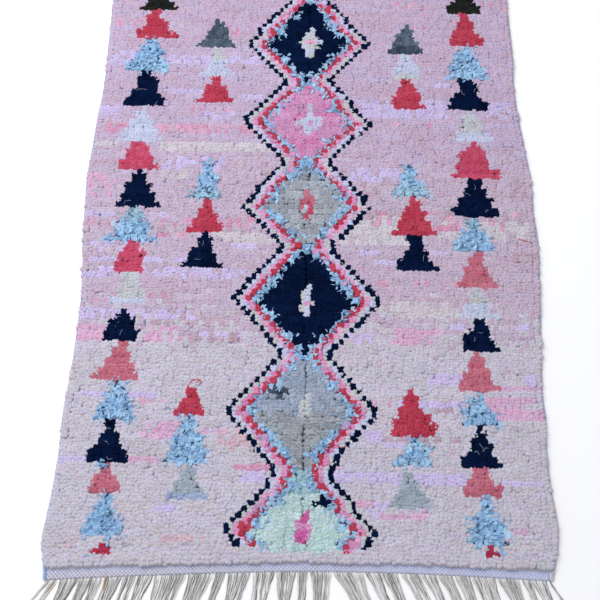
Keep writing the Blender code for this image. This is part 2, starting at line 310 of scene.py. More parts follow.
LEFT_OUTER = (
    Tree(-456, 1765, 100, 100, Yarn.CORAL),
    Tree(-453, 1641, 120, 102, Yarn.GREEN),
    Tree(-458, 1537, 116, 107, Yarn.RED),
    Tree(-466, 1421, 123, 122, Yarn.SKY),
    Tree(-464, 1292, 134, 112, Yarn.NAVY),
    Tree(-472, 1181, 112, 106, Yarn.WHITE),
    Tree(-469, 1090, 94, 100, Yarn.BERRY),
    Tree(-461, 960, 134, 116, Yarn.NAVY),
    Tree(-466, 863, 102, 122, Yarn.DUSTY_SKY, Yarn.SKY, 0.55),
    Tree(-463, 768, 97, 88, Yarn.BERRY),
    Tree(-456, 676, 98, 90, Yarn.CREAM, Yarn.WHITE, 0.25),
    Tree(-468, 571, 100, 98, Yarn.NAVY),
    Tree(-471, 474, 99, 99, Yarn.CORAL),
    Tree(-469, 365, 110, 112, Yarn.SKY),
    Tree(-473, 262, 108, 98, Yarn.NAVY),
    Tree(-473, 180, 80, 78, Yarn.CORAL),
    Tree(-468, 81, 98, 104, Yarn.SKY),
    Tree(-465, 43, 28, 40, Yarn.WINE),
)
RIGHT_OUTER = (
    Tree(468, 1762, 100, 100, Yarn.CORAL),
    Tree(469, 1637, 122, 103, Yarn.GREEN),
    Tree(469, 1519, 122, 101, Yarn.RED),
    Tree(468, 1394, 130, 126, Yarn.SKY),
    Tree(468, 1294, 124, 106, Yarn.NAVY),
    Tree(470, 1186, 107, 108, Yarn.CREAM, Yarn.WHITE, 0.36),
    Tree(474, 1076, 112, 120, Yarn.BERRY),
    Tree(469, 948, 134, 126, Yarn.NAVY),
    Tree(459, 842, 106, 112, Yarn.DUSTY_SKY, Yarn.SKY, 0.6),
    Tree(461, 743, 104, 92, Yarn.CORAL),
    Tree(457, 646, 96, 92, Yarn.CREAM, Yarn.WHITE, 0.45),
    Tree(456, 553, 96, 97, Yarn.NAVY),
    Tree(446, 449, 106, 99, Yarn.CORAL),
    Tree(446, 362, 88, 94, Yarn.SKY),
    Tree(443, 257, 106, 104, Yarn.NAVY),
    Tree(441, 182, 84, 96, Yarn.CORAL),
    Tree(448, 77, 106, 108, Yarn.SKY),
    Tree(451, 52, 26, 32, Yarn.WINE),
)
INNER = (
    Tree(-269, 1500, 103, 101, Yarn.CHARCOAL), Tree(-264, 1403, 97, 84, Yarn.CREAM, Yarn.WHITE, 0.5),
    Tree(-262, 1306, 101, 92, Yarn.RED), Tree(-271, 991, 120, 76, Yarn.SKY, Yarn.DUSTY_SKY, 0.3),
    Tree(-269, 893, 100, 84, Yarn.RED), Tree(-270, 780, 120, 94, Yarn.NAVY),
    Tree(-278, 373, 78, 87, Yarn.RED), Tree(-280, 260, 118, 110, Yarn.SKY),
    Tree(-272, 168, 92, 88, Yarn.DOVE, Yarn.HAZE, 0.24),
    Tree(294, 1491, 103, 98, Yarn.CHARCOAL), Tree(290, 1394, 102, 88, Yarn.WHITE, Yarn.CREAM, 0.14),
    Tree(293, 1298, 101, 93, Yarn.RED), Tree(289, 1010, 110, 92, Yarn.SKY, Yarn.DUSTY_SKY, 0.3),
    Tree(299, 893, 116, 112, Yarn.RED), Tree(300, 778, 118, 112, Yarn.NAVY),
    Tree(274, 341, 116, 108, Yarn.RED), Tree(279, 255, 93, 96, Yarn.SKY),
    Tree(268, 161, 91, 94, Yarn.DOVE),
)


class Streak(NamedTuple):
    """A run of odd-dyed yarn in the ground: middle along the rug, height, both ends, yarn, cover."""

    y: float
    height: float
    left: float
    right: float
    yarn: Yarn
    cover: float = 1.0


STREAKS = (
    Streak(1596, 22, -579, -489, Yarn.ROSE, 0.5), Streak(1570, 20, -420, -320, Yarn.ROSE, 0.35),
    Streak(1560, 28, -240, -160, Yarn.ROSE, 0.4), Streak(1463, 34, -590, -497, Yarn.LAVENDER, 0.7),
    Streak(1460, 30, -410, -125, Yarn.LAVENDER, 0.7), Streak(1350, 15, -411, -300, Yarn.LAVENDER),
    Streak(1328, 15, -175, -113, Yarn.LAVENDER), Streak(1279, 18, -587, -542, Yarn.LAVENDER),
    Streak(1288, 16, -395, -200, Yarn.ROSE, 0.4), Streak(1262, 22, -305, -150, Yarn.LAVENDER, 0.6),
    Streak(1220, 36, -583, -518, Yarn.ROSE, 0.55), Streak(1214, 30, -424, -138, Yarn.ROSE, 0.55),
    Streak(1166, 28, -415, -97, Yarn.SAND), Streak(1172, 16, -595, -526, Yarn.SAND),
    Streak(1108, 34, -395, -232, Yarn.LAVENDER, 0.5), Streak(1068, 40, -400, -313, Yarn.SAND, 0.8),
    Streak(1068, 42, -228, -110, Yarn.MAUVE, 0.5), Streak(1034, 74, -603, -518, Yarn.PINK, 0.45),
    Streak(945, 18, -595, -371, Yarn.LAVENDER, 0.8), Streak(921, 20, -591, -130, Yarn.ROSE, 0.4),
    Streak(898, 14, -560, -130, Yarn.MAUVE, 0.35), Streak(886, 15, -399, -322, Yarn.ROSE, 0.8),
    Streak(880, 28, -232, -89, Yarn.SAND), Streak(843, 28, -562, -440, Yarn.LAVENDER, 0.7),
    Streak(851, 15, -207, -134, Yarn.LAVENDER), Streak(806, 20, -579, -317, Yarn.LAVENDER, 0.9),
    Streak(767, 24, -579, -130, Yarn.LAVENDER, 0.6), Streak(694, 16, -579, -354, Yarn.ROSE, 0.45),
    Streak(651, 28, -583, -293, Yarn.LAVENDER, 0.8), Streak(634, 20, -395, -203, Yarn.MAUVE, 0.55),
    Streak(590, 44, -587, -513, Yarn.PINK, 0.9), Streak(594, 40, -424, -322, Yarn.PINK, 0.7),
    Streak(588, 24, -322, -162, Yarn.MAUVE, 0.6), Streak(602, 14, -293, -150, Yarn.LAVENDER),
    Streak(435, 20, -575, -379, Yarn.LAVENDER), Streak(416, 20, -424, -301, Yarn.PINK, 0.4),
    Streak(345, 38, -403, -301, Yarn.PINK, 0.7), Streak(339, 18, -248, -199, Yarn.PINK, 0.9),
    Streak(322, 52, -195, -126, Yarn.SALMON, 0.5), Streak(262, 14, -591, -522, Yarn.LAVENDER),
    Streak(262, 14, -420, -338, Yarn.PINK), Streak(252, 16, -171, -69, Yarn.ROSE, 0.8),
    Streak(232, 28, -154, -81, Yarn.LAVENDER, 0.9), Streak(149, 16, -354, -301, Yarn.LAVENDER),
    Streak(78, 14, -330, -232, Yarn.SALMON, 0.8), Streak(60, 16, -554, -534, Yarn.SALMON),
    Streak(1668, 24, 245, 367, Yarn.ROSE, 0.35), Streak(1668, 24, 514, 583, Yarn.ROSE, 0.4),
    Streak(1585, 22, 253, 351, Yarn.ROSE, 0.2), Streak(1376, 18, 367, 412, Yarn.LAVENDER),
    Streak(1320, 20, 135, 245, Yarn.MAUVE, 0.6), Streak(1289, 56, 151, 408, Yarn.LAVENDER, 0.9),
    Streak(1289, 56, 518, 583, Yarn.LAVENDER, 0.9), Streak(1269, 16, 514, 551, Yarn.MAUVE),
    Streak(1238, 18, 190, 350, Yarn.ROSE, 0.2), Streak(1072, 38, 122, 261, Yarn.LAVENDER, 0.8),
    Streak(1040, 66, 155, 249, Yarn.MAUVE, 0.4), Streak(1040, 66, 563, 612, Yarn.MAUVE, 0.5),
    Streak(938, 62, 171, 571, Yarn.ROSE, 0.25), Streak(950, 16, 171, 600, Yarn.MAUVE, 0.6),
    Streak(906, 82, 94, 285, Yarn.SAND, 0.85), Streak(898, 56, 355, 612, Yarn.SAND, 0.8),
    Streak(914, 14, 350, 560, Yarn.ROSE, 0.4), Streak(832, 28, 555, 616, Yarn.MAUVE, 0.9),
    Streak(839, 20, 151, 204, Yarn.LAVENDER), Streak(839, 20, 343, 392, Yarn.LAVENDER),
    Streak(804, 18, 184, 245, Yarn.LAVENDER), Streak(745, 14, 184, 416, Yarn.ROSE, 0.35),
    Streak(671, 30, 216, 408, Yarn.SAND, 0.9), Streak(626, 22, 380, 420, Yarn.LAVENDER),
    Streak(626, 22, 551, 588, Yarn.LAVENDER), Streak(594, 36, 229, 359, Yarn.PINK, 0.7),
    Streak(588, 36, 118, 180, Yarn.LAVENDER, 0.6), Streak(484, 18, 327, 412, Yarn.LAVENDER),
    Streak(484, 18, 563, 588, Yarn.LAVENDER), Streak(459, 16, 494, 600, Yarn.PINK),
    Streak(405, 54, 465, 608, Yarn.PINK, 0.85), Streak(417, 14, 176, 229, Yarn.PINK, 0.8),
    Streak(417, 14, 233, 400, Yarn.LAVENDER), Streak(405, 16, 335, 388, Yarn.MAUVE, 0.7),
    Streak(337, 26, 151, 196, Yarn.LAVENDER, 0.9), Streak(327, 24, 204, 400, Yarn.MAUVE, 0.55),
    Streak(306, 14, 204, 249, Yarn.LAVENDER), Streak(292, 14, 220, 380, Yarn.SALMON, 0.5),
    Streak(230, 34, 73, 408, Yarn.LAVENDER, 0.95), Streak(226, 16, 490, 592, Yarn.LAVENDER),
    Streak(254, 14, 73, 98, Yarn.PINK), Streak(167, 14, 114, 171, Yarn.PINK),
    Streak(167, 14, 171, 220, Yarn.LAVENDER), Streak(146, 14, 196, 310, Yarn.PINK),
    Streak(146, 22, 159, 196, Yarn.LAVENDER, 0.7), Streak(115, 14, 498, 547, Yarn.PINK),
    Streak(32, 18, 551, 580, Yarn.CREAM), Streak(-1, 18, 400, 460, Yarn.LAVENDER, 0.4),
    Streak(1780, 30, -560, -120, Yarn.ROSE, 0.3), Streak(1860, 28, 100, 560, Yarn.LAVENDER, 0.5),
    Streak(1716, 20, 160, 400, Yarn.LAVENDER, 0.5), Streak(1925, 24, -500, 300, Yarn.ROSE, 0.25),
)

# Odd knots tied over the pattern, as runs of one knot row or more
ODD_KNOTS = (
    Streak(170, 14, 28, 64, Yarn.NAVY), Streak(184, 12, 38, 54, Yarn.NAVY),
    Streak(438, 26, -88, -46, Yarn.CHARCOAL, 0.7), Streak(158, 12, -158, -143, Yarn.WHITE),
    Streak(52, 14, -500, -487, Yarn.SKY),
    Streak(68, 14, -454, -440, Yarn.SKY), Streak(62, 28, 422, 436, Yarn.SKY),
    Streak(60, 28, 470, 483, Yarn.SKY), Streak(256, 14, -504, -478, Yarn.SKY),
    Streak(1650, 22, 58, 76, Yarn.RED),
)


class Medallion(NamedTuple):
    """One diamond of the chain: its middle, tips, field, and the heart's middle, half sizes and yarns."""

    middle: float
    left_tip: float
    right_tip: float
    field: Yarn
    heart_y: float
    heart_half_width: float
    heart_half_height: float
    heart: tuple[Yarn, ...]
    eye: Yarn


MEDALLIONS = (
    Medallion(100, -180, 179, Yarn.MINT, 103, 16, 40, (Yarn.MAGENTA, Yarn.CARNATION), Yarn.MAGENTA),
    Medallion(396, -187, 187, Yarn.SLATE, 405, 12, 32, (Yarn.CREAM, Yarn.SAND), Yarn.CREAM),
    Medallion(699, -184, 202, Yarn.NAVY, 690, 16, 46, (Yarn.WHITE, Yarn.CREAM), Yarn.BORDER_PINK),
    Medallion(975, -169, 180, Yarn.HEATHER, 978, 19, 48, (Yarn.CORAL, Yarn.BERRY), Yarn.WHITE),
    Medallion(1247, -175, 184, Yarn.CARNATION, 1246, 38, 58, (Yarn.WHITE, Yarn.WHITE), Yarn.CARNATION),
    Medallion(1524, -175, 185, Yarn.NAVY, 1524, 32, 62, (Yarn.WHITE, Yarn.CREAM), Yarn.BORDER_PINK),
    Medallion(1815, -172, 180, Yarn.HEATHER, 1815, 24, 44, (Yarn.CREAM, Yarn.WHITE), Yarn.CORAL),
)


@dataclass(frozen=True)
class KnotChart:
    """Says which yarn each knot is tied from, as the weaver counted it out."""

    seed: int = 5
    chain_middle: float = 8.0
    neck_edges: tuple[float, float] = (-57.0, 67.0)
    two_blues: float = 0.4
    necks: tuple[float, ...] = (-40, 245, 543, 846, 1115, 1385, 1673, 1960)
    design_start: float = 60.0
    design_end: float = 1905.0
    near_ground: float = 620.0
    middle_ground: float = 1120.0
    ground_blur: float = 45.0
    star_taper: float = 2.0
    star_from: float = 30.0
    heart_tip: float = 5.0
    tree_tip: float = 7.0
    foot_flare: float = 4.0
    foot_flare_share: float = 0.14
    ragged: float = 4.0
    tip_reach: float = 0.35
    odd_knot: float = 0.12
    slip: float = 0.1
    pale_run: int = 2
    white_share: float = 0.4
    eye_half_height: float = 0.16
    eye_half_width: float = 8.0
    tree_foot: float = 0.08
    tree_lean: float = 0.6
    slate_change: tuple[float, float] = (-6.0, 14.0)
    mint_change: tuple[float, float] = (200.0, 18.0)
    heather_change: float = -60.0

    def luck(self, *key: int) -> random.Random:
        """Chances that belong to one place in the chart and stay the same each run.

        Args:
            key: Numbers that name the place.

        Returns:
            The chances.
        """
        mixed = self.seed
        for part in key:
            mixed = (mixed * 1000003 + part * 7919 + 17) % 2147483647
        return random.Random(mixed)

    def ground(self, y: float, chance: random.Random) -> Yarn:
        """Ground yarn at a place along the rug: ash near the fringe, then blush, then lilac.

        Args:
            y: Place along the rug, in mm.
            chance: The chances that vary it.

        Returns:
            The yarn.
        """
        place = y + chance.gauss(0.0, self.ground_blur)
        if place < self.near_ground:
            return Yarn.ASH
        return Yarn.BLUSH if place < self.middle_ground else Yarn.LILAC

    def chain_edge(self, side: int, y: float) -> float:
        """X of the diamond chain's outer edge at y on one side.

        Args:
            side: -1 for the left, 1 for the right.
            y: Place along the rug, in mm.

        Returns:
            X in mm.
        """
        i = min(max(bisect_right(self.necks, y) - 1, 0), len(MEDALLIONS) - 1)
        medallion = MEDALLIONS[i]
        tip = medallion.left_tip if side < 0 else medallion.right_tip
        neck = self.neck_edges[side > 0]
        end = self.necks[i] if y < medallion.middle else self.necks[i + 1]
        return blend(tip, neck, min(abs(y - medallion.middle) / abs(end - medallion.middle), 1.0))

    def medallion_yarn(self, x: float, y: float, row: int, knot: int, pitch: float) -> Yarn | None:
        """Yarn of a knot of the diamond chain, or None outside it.

        Args:
            x: Place across the rug, in mm.
            y: Place along the rug, in mm.
            row: The knot's row, counted from the fringe.
            knot: Its place in the row, counted from the left.
            pitch: Width of one knot, in mm.

        Returns:
            The yarn, or None.
        """
        if not self.design_start < y < self.design_end:
            return None
        depths = []
        for side in (-1, 1):
            wobble = self.luck(row, side + 3).uniform(-self.slip, self.slip)
            depths.append((self.chain_edge(side, y) - x) * side / pitch + wobble)
        depth = min(depths)
        if depth < -self.tip_reach:
            return None
        chance = self.luck(row, knot, 1)
        ring = int(depth + self.tip_reach)
        blues = 2 if self.luck(row, 9).random() < self.two_blues else 1
        if ring < 4:
            white = self.luck(row // self.pale_run, 4).random() < self.white_share
            pale = Yarn.WHITE if white else Yarn.CREAM
            odd = chance.random() < self.odd_knot
            inner = (Yarn.CARNATION, Yarn.BORDER_PINK) if odd else (Yarn.BORDER_PINK, Yarn.RED)
            return (Yarn.NAVY, pale, *inner)[ring]
        if ring < 4 + blues:
            return Yarn.SKY
        return self.field_yarn(x, y, chance)

    def field_yarn(self, x: float, y: float, chance: random.Random) -> Yarn:
        """Yarn of a knot inside a diamond: its heart, or its field with the drift that the field shows.

        Args:
            x: Place across the rug, in mm.
            y: Place along the rug, in mm.
            chance: The chances that vary it.

        Returns:
            The yarn.
        """
        i = min(max(bisect_right(self.necks, y) - 1, 0), len(MEDALLIONS) - 1)
        medallion = MEDALLIONS[i]
        along = (y - medallion.heart_y) / medallion.heart_half_height
        power = self.star_taper if medallion.heart_half_width > self.star_from else 1.0
        taper = max(0.0, 1.0 - abs(along)) ** power
        side = abs(x - self.chain_middle) / (medallion.heart_half_width * taper + self.heart_tip)
        if abs(along) < 1.0 and side < 1.0:
            off_middle = abs(x - self.chain_middle)
            near_eye = abs(along) < self.eye_half_height and off_middle < self.eye_half_width
            return medallion.eye if near_eye else chance.choice(medallion.heart)
        above_middle = y - medallion.middle
        place, blur = self.slate_change
        if medallion.field is Yarn.SLATE and above_middle < place + chance.uniform(-blur, blur):
            return Yarn.PEWTER
        place, blur = self.mint_change
        if medallion.field is Yarn.MINT and y > place + chance.uniform(-blur, blur):
            return Yarn.TEAL
        if medallion.field is Yarn.HEATHER and above_middle < self.heather_change:
            return chance.choice((Yarn.HEATHER, Yarn.PEWTER))
        return medallion.field

    def tree_yarn(self, x: float, y: float, row: int) -> Yarn | None:
        """Yarn of a knot of a small triangle, or None outside them all.

        Args:
            x: Place across the rug, in mm.
            y: Place along the rug, in mm.
            row: The knot's row, counted from the fringe.

        Returns:
            The yarn, or None.
        """
        trees = INNER if abs(x) < 370 else (LEFT_OUTER if x < 0 else RIGHT_OUTER)
        for index, tree in enumerate(trees):
            share = (y - tree.foot) / tree.height
            if not 0.0 <= share < 1.0 or abs(x - tree.x) > tree.width:
                continue
            chance = self.luck(row, index, 2)
            rise = max(0.0, share - self.tree_foot) / (1.0 - self.tree_foot)
            half = blend(tree.width / 2, self.tree_tip, rise)
            half += self.foot_flare if share < self.foot_flare_share else 0.0
            reach = half + chance.uniform(-self.ragged, self.ragged)
            lean = chance.uniform(-self.ragged, self.ragged) * self.tree_lean
            if abs(x - tree.x - lean) < reach:
                return tree.foot_yarn if tree.foot_yarn and share < tree.foot_share else tree.yarn
        return None

    def run_yarn(self, runs: tuple[Streak, ...], x: float, y: float, row: int, knot: int) -> Yarn | None:
        """Yarn of a run of odd knots that covers this one, or None.

        Args:
            runs: The runs to look through.
            x: Place across the rug, in mm.
            y: Place along the rug, in mm.
            row: The knot's row, counted from the fringe.
            knot: Its place in the row, counted from the left.

        Returns:
            The yarn, or None.
        """
        for index, run in enumerate(runs):
            if abs(y - run.y) > run.height / 2 + 1.0:
                continue
            chance = self.luck(row, index, 3)
            ends = chance.uniform(-12, 12) if run.right - run.left > 60 else 0.0
            if run.left + ends < x < run.right + ends and self.luck(row, knot, index).random() < run.cover:
                return run.yarn
        return None

    def yarn(self, row: int, knot: int) -> Yarn:
        """The yarn of one knot, by its row from the fringe and its place from the left.

        Args:
            row: The knot's row, counted from the fringe.
            knot: Its place in the row, counted from the left.

        Returns:
            The yarn.
        """
        share = (knot + 0.5) / PLAN.knots
        x, y = PLAN.field_spot(share, row + 0.5)
        pitch = (PLAN.cloth_edge(1, y) - PLAN.cloth_edge(-1, y)) / PLAN.knots
        return (self.run_yarn(ODD_KNOTS, x, y, row, knot)
                or self.medallion_yarn(x, y, row, knot, pitch)
                or self.tree_yarn(x, y, row)
                or self.run_yarn(STREAKS, x, y, row, knot)
                or self.ground(y, self.luck(row, knot, 6)))


CHART = KnotChart()


# Yarn shapes


class Ring(NamedTuple):
    """One section of a yarn: its middle, half width and half thickness in mm, and its roll in degrees."""

    spot: Vector
    wide: float
    thick: float
    roll: float = 0.0


DYE_LAYER = "dye"
# How far above its root's point a knot starts, so that a leaning one stays above the floor
ROOT_LIFT = 1.8


def roll_up(bm: bmesh.types.BMesh, rings: list[Ring], crosses: list[tuple[Vector, Vector]], sides: int,
            dyes: list[Rgb] | None = None) -> None:
    """Roll a grid up into a closed yarn; a first and last ring of no width close its ends.

    Args:
        bm: Mesh to add it to.
        rings: Sections in order, in millimetres.
        crosses: The two directions that each section's width and thickness are measured in.
        sides: How many sides the yarn has.
        dyes: Colour of the yarn at each ring, where it is dyed by the length.
    """
    steps = len(rings) - 1
    layer = bm.verts.layers.float_color.get(DYE_LAYER)
    verts = bmesh.ops.create_grid(bm, x_segments=sides, y_segments=steps, size=1.0)["verts"]
    for vert in verts:
        angle = math.pi * (vert.co.x + 1.0)
        step = round((vert.co.y + 1.0) / 2.0 * steps)
        ring, (wide, thick) = rings[step], crosses[step]
        offset = wide * (math.cos(angle) * ring.wide) + thick * (math.sin(angle) * ring.thick)
        vert.co = (ring.spot + offset) * MM
        if dyes:
            vert[layer] = (*dyes[step], 1.0)
    bmesh.ops.remove_doubles(bm, verts=verts, dist=1e-7)


def sweep_yarn(bm: bmesh.types.BMesh, rings: list[Ring], sides: int, dyes: list[Rgb] | None = None) -> None:
    """Roll up a yarn whose sections stand square to the way that it runs.

    Args:
        bm: Mesh to add it to.
        rings: Sections in order, in millimetres.
        sides: How many sides the yarn has.
        dyes: Colour of the yarn at each ring, where it is dyed by the length.
    """
    steps = len(rings) - 1
    crosses = []
    across = Vector((1.0, 0.13, 0.07))
    for i, ring in enumerate(rings):
        ahead = (rings[min(i + 1, steps)].spot - rings[max(i - 1, 0)].spot).normalized()
        across = (across - ahead * across.dot(ahead)).normalized()
        roll = Matrix.Rotation(math.radians(ring.roll), 3, ahead)
        crosses.append((roll @ across, roll @ ahead.cross(across)))
    roll_up(bm, rings, crosses, sides, dyes)


def new_piece(name: str, bm: bmesh.types.BMesh, material: bpy.types.Material | None) -> bpy.types.Object:
    """Turn a bmesh into a smooth-shaded object of the scene.

    Args:
        name: The piece's name.
        bm: Its geometry, which is freed.
        material: Its finish, or None for a guide.

    Returns:
        The object.
    """
    bmesh.ops.recalc_face_normals(bm, faces=bm.faces[:])
    mesh = bpy.data.meshes.new(name)
    bm.to_mesh(mesh)
    bm.free()
    mesh.shade_smooth()
    if material:
        mesh.materials.append(material)
    obj = bpy.data.objects.new(name, mesh)
    bpy.context.scene.collection.objects.link(obj)
    return obj


def place(obj: bpy.types.Object, node: str, slot: str) -> None:
    """Attach a piece to the rug's body, hide the solid that it dresses, and report it.

    Args:
        obj: The piece.
        node: The solid that it dresses.
        slot: Name of a finish; not used.
    """
    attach(obj, BODY)
    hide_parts(node)
    log.info("%s: %d faces", obj.name, len(obj.data.polygons))


@dataclass(frozen=True)
class WoolKnot:
    """One knot of tripled wool: six cut ends that stand close, stray and lean a little towards the fringe."""

    sides: int = 5
    ends_across: tuple[float, ...] = (-4.3, 0.0, 4.3)
    ends_along: tuple[float, ...] = (-4.5, -12.0)
    stray: tuple[float, float] = (1.5, 1.9)
    shoulder_height: float = 10.7
    shoulder_half: float = 7.9
    tip_height: float = 16.2
    tip_spread: float = 1.3

    def build(self, bm: bmesh.types.BMesh, chance: random.Random) -> None:
        """Add one knot to the mesh, its root at the origin.

        Args:
            bm: Mesh to add it to.
            chance: The chances that vary it.
        """
        for across in self.ends_across:
            for along in self.ends_along:
                out = across + chance.uniform(-self.stray[0], self.stray[0])
                tip_y = along + chance.uniform(-self.stray[1], self.stray[1])
                lift = chance.uniform(-self.tip_spread, self.tip_spread)
                wide, thick = (self.shoulder_half * chance.uniform(0.8, 1.15) for _ in range(2))
                roll = chance.uniform(0, 360)
                tip = Vector((out * 1.1 + chance.uniform(-1, 1), tip_y - 1.0, self.tip_height + lift))
                rings = [Ring(Vector((out * 0.5, tip_y + 4.0, ROOT_LIFT)), 0.0, 0.0, roll),
                         Ring(Vector((out, tip_y + 0.6, self.shoulder_height + lift)), wide, thick, roll),
                         Ring(tip, 0.0, 0.0, roll)]
                sweep_yarn(bm, rings, self.sides)


@dataclass(frozen=True)
class RagKnot:
    """The cut ends of one knot of satin rag: folded strips that curl every way over its bunched body."""

    sides: int = 4
    strips: int = 3
    spread: float = 4.2
    step: float = 5.6
    curl: float = 0.5
    half_width: float = 6.4
    half_thickness: float = 1.1
    starts_along: tuple[float, float] = (-13.5, -2.5)
    first_rise: tuple[float, float] = (2.0, 3.8)
    second_rise: tuple[float, float] = (-0.4, 1.4)
    last_drop: float = -3.0
    roll: float = 35.0
    fatness: tuple[float, float] = (0.75, 1.2)
    bodies_along: tuple[float, float] = (-4.6, -11.8)
    body_height: float = 11.0
    body_half: float = 7.2

    def build(self, bm: bmesh.types.BMesh, chance: random.Random) -> None:
        """Add one knot to the mesh, its root at the origin.

        Args:
            bm: Mesh to add it to.
            chance: The chances that vary it.
        """
        for _ in range(self.strips):
            spot = Vector((chance.uniform(-self.spread, self.spread), chance.uniform(*self.starts_along),
                           self.body_height - 0.5))
            heading = chance.uniform(0, math.tau)
            curl = chance.uniform(-self.curl, self.curl)
            roll = chance.uniform(-self.roll, self.roll)
            fat = chance.uniform(*self.fatness)
            rings = [Ring(spot.copy(), 0.0, 0.0, roll)]
            rises = chance.uniform(*self.first_rise), chance.uniform(*self.second_rise), self.last_drop
            for rise, width in zip(rises, (1.0, 1.0, 0.0)):
                spot = spot + Vector((math.cos(heading), math.sin(heading), 0.0)) * self.step
                spot.z += rise
                heading += curl
                rings.append(Ring(spot.copy(), self.half_width * fat * width,
                                  self.half_thickness * width, roll))
            sweep_yarn(bm, rings, self.sides)
        for body_y in self.bodies_along:
            body = [Ring(Vector((0.0, body_y + 2.0, ROOT_LIFT)), 0.0, 0.0, 45.0),
                    Ring(Vector((0.0, body_y, self.body_height)), self.body_half * 1.25,
                         self.body_half, 45.0),
                    Ring(Vector((0.0, body_y - 0.5, self.body_height + 2.2)), 0.0, 0.0, 45.0)]
            sweep_yarn(bm, body, self.sides)


# Finishes


def add_node(tree: bpy.types.NodeTree, kind: str, settings: dict[str, object] | None = None,
             inputs: dict[int | str, object] | None = None) -> bpy.types.Node:
    """Add a node with its settings, its inputs linked from sockets or set to values.

    Args:
        tree: Node tree to add it to.
        kind: The node's type.
        settings: Its own properties.
        inputs: Its input sockets, each a source socket or a value.

    Returns:
        The node.
    """
    node = tree.nodes.new(kind)
    for name, value in (settings or {}).items():
        setattr(node, name, value)
    for key, value in (inputs or {}).items():
        if isinstance(value, bpy.types.NodeSocket):
            tree.links.new(value, node.inputs[key])
        else:
            node.inputs[key].default_value = value
    return node


@dataclass(frozen=True)
class YarnFinish:
    """A yarn or cloth: matt, fuzzy fibres whose colour and surface vary along and across it."""

    name: str
    roughness: float = 0.9
    specular: float = 0.25
    sheen: float = 0.25
    fibre_pitch: float = 1.6
    fibre_contrast: float = 0.16
    fibre_relief: float = 0.5
    mottle_pitch: float = 8.0
    mottle: float = 0.0

    def material(self) -> bpy.types.Material:
        """Build the finish as a node material.

        Returns:
            The material.
        """
        material = bpy.data.materials.new(self.name)
        material.use_nodes = True
        tree = material.node_tree
        shader = tree.nodes["Principled BSDF"]
        shader.inputs["Roughness"].default_value = self.roughness
        shader.inputs["Specular IOR Level"].default_value = self.specular
        shader.inputs["Sheen Weight"].default_value = self.sheen
        shader.inputs["Sheen Roughness"].default_value = 0.5
        place_in = add_node(tree, "ShaderNodeTexCoord").outputs["Object"]
        noise = add_node(tree, "ShaderNodeTexNoise", inputs={
            "Vector": place_in, "Scale": 1.0 / (self.fibre_pitch * MM), "Detail": 2.0,
            "Roughness": 0.6})
        light = add_node(tree, "ShaderNodeMapRange", inputs={
            "Value": noise.outputs["Fac"], "From Min": 0.25, "From Max": 0.75,
            "To Min": 1.0 - self.fibre_contrast, "To Max": 1.0 + self.fibre_contrast * 0.6})
        dye = add_node(tree, "ShaderNodeAttribute", {"attribute_name": DYE_LAYER}).outputs["Color"]
        uneven = add_node(tree, "ShaderNodeTexNoise", inputs={
            "Vector": place_in, "Scale": 1.0 / (self.mottle_pitch * MM), "Detail": 1.0})
        drift = add_node(tree, "ShaderNodeVectorMath", {"operation": "MULTIPLY_ADD"}, {
            0: uneven.outputs["Color"], 1: (self.mottle,) * 3, 2: (1.0 - self.mottle / 2,) * 3})
        mottled = add_node(tree, "ShaderNodeVectorMath", {"operation": "MULTIPLY"}, {
            0: dye, 1: drift.outputs["Vector"]})
        dyed = add_node(tree, "ShaderNodeVectorMath", {"operation": "SCALE"}, {
            0: mottled.outputs["Vector"], "Scale": light.outputs["Result"]})
        bump = add_node(tree, "ShaderNodeBump", inputs={
            "Strength": 1.0, "Distance": self.fibre_relief * MM, "Height": noise.outputs["Fac"]})
        tree.links.new(dyed.outputs["Vector"], shader.inputs["Base Color"])
        tree.links.new(bump.outputs["Normal"], shader.inputs["Normal"])
        return material


@dataclass(frozen=True)
class FloorFinish:
    """Matt white paper sweep, which gives a soft pale ground with no gloss."""

    name: str = "white paper floor"
    colour: str = "#f4f4f6"
    roughness: float = 0.95

    def material(self) -> bpy.types.Material:
        """Build the finish as a node material.

        Returns:
            The material.
        """
        material = bpy.data.materials.new(self.name)
        material.use_nodes = True
        shader = material.node_tree.nodes["Principled BSDF"]
        shader.inputs["Base Color"].default_value = (*linear(self.colour), 1.0)
        shader.inputs["Roughness"].default_value = self.roughness
        shader.inputs["Specular IOR Level"].default_value = 0.1
        return material


# Handspun single-ply wool, vat dyed: matt and fuzzy, with soft lumps where the spinning was uneven
WOOL = YarnFinish("handspun dyed wool", roughness=0.95, specular=0.08, sheen=0.06, fibre_pitch=2.6,
                  fibre_contrast=0.16, fibre_relief=0.7, mottle=0.3)
# The same wool spun from mixed light and dark fleece, so its greys are flecked
HEATHERED = YarnFinish("heathered grey wool", roughness=0.95, specular=0.08, sheen=0.06, fibre_pitch=3.0,
                       fibre_contrast=0.34, fibre_relief=0.9, mottle=0.25)
# Wool dyed in the indigo vat over and over, so dark that its fibres give back next to no light
INDIGO = YarnFinish("deep indigo wool", roughness=1.0, specular=0.0, sheen=0.0, fibre_pitch=2.6,
                    fibre_contrast=0.3, fibre_relief=0.9, mottle=0.3)
# Strips torn from satin lining: smoother than wool, with a pale gloss along their folds
RAG = YarnFinish("torn satin rag strip", roughness=0.6, specular=0.3, sheen=0.05, fibre_pitch=7.0,
                 fibre_contrast=0.14, fibre_relief=0.5, mottle=0.12)
# Wool wrapped hard round the edge warps: the wraps press the fibres flat, so it is less fuzzy than the pile
OVERCAST = YarnFinish("overcast wool edge", roughness=0.88, specular=0.25, sheen=0.2, fibre_pitch=1.2,
                      fibre_contrast=0.18, fibre_relief=0.3)
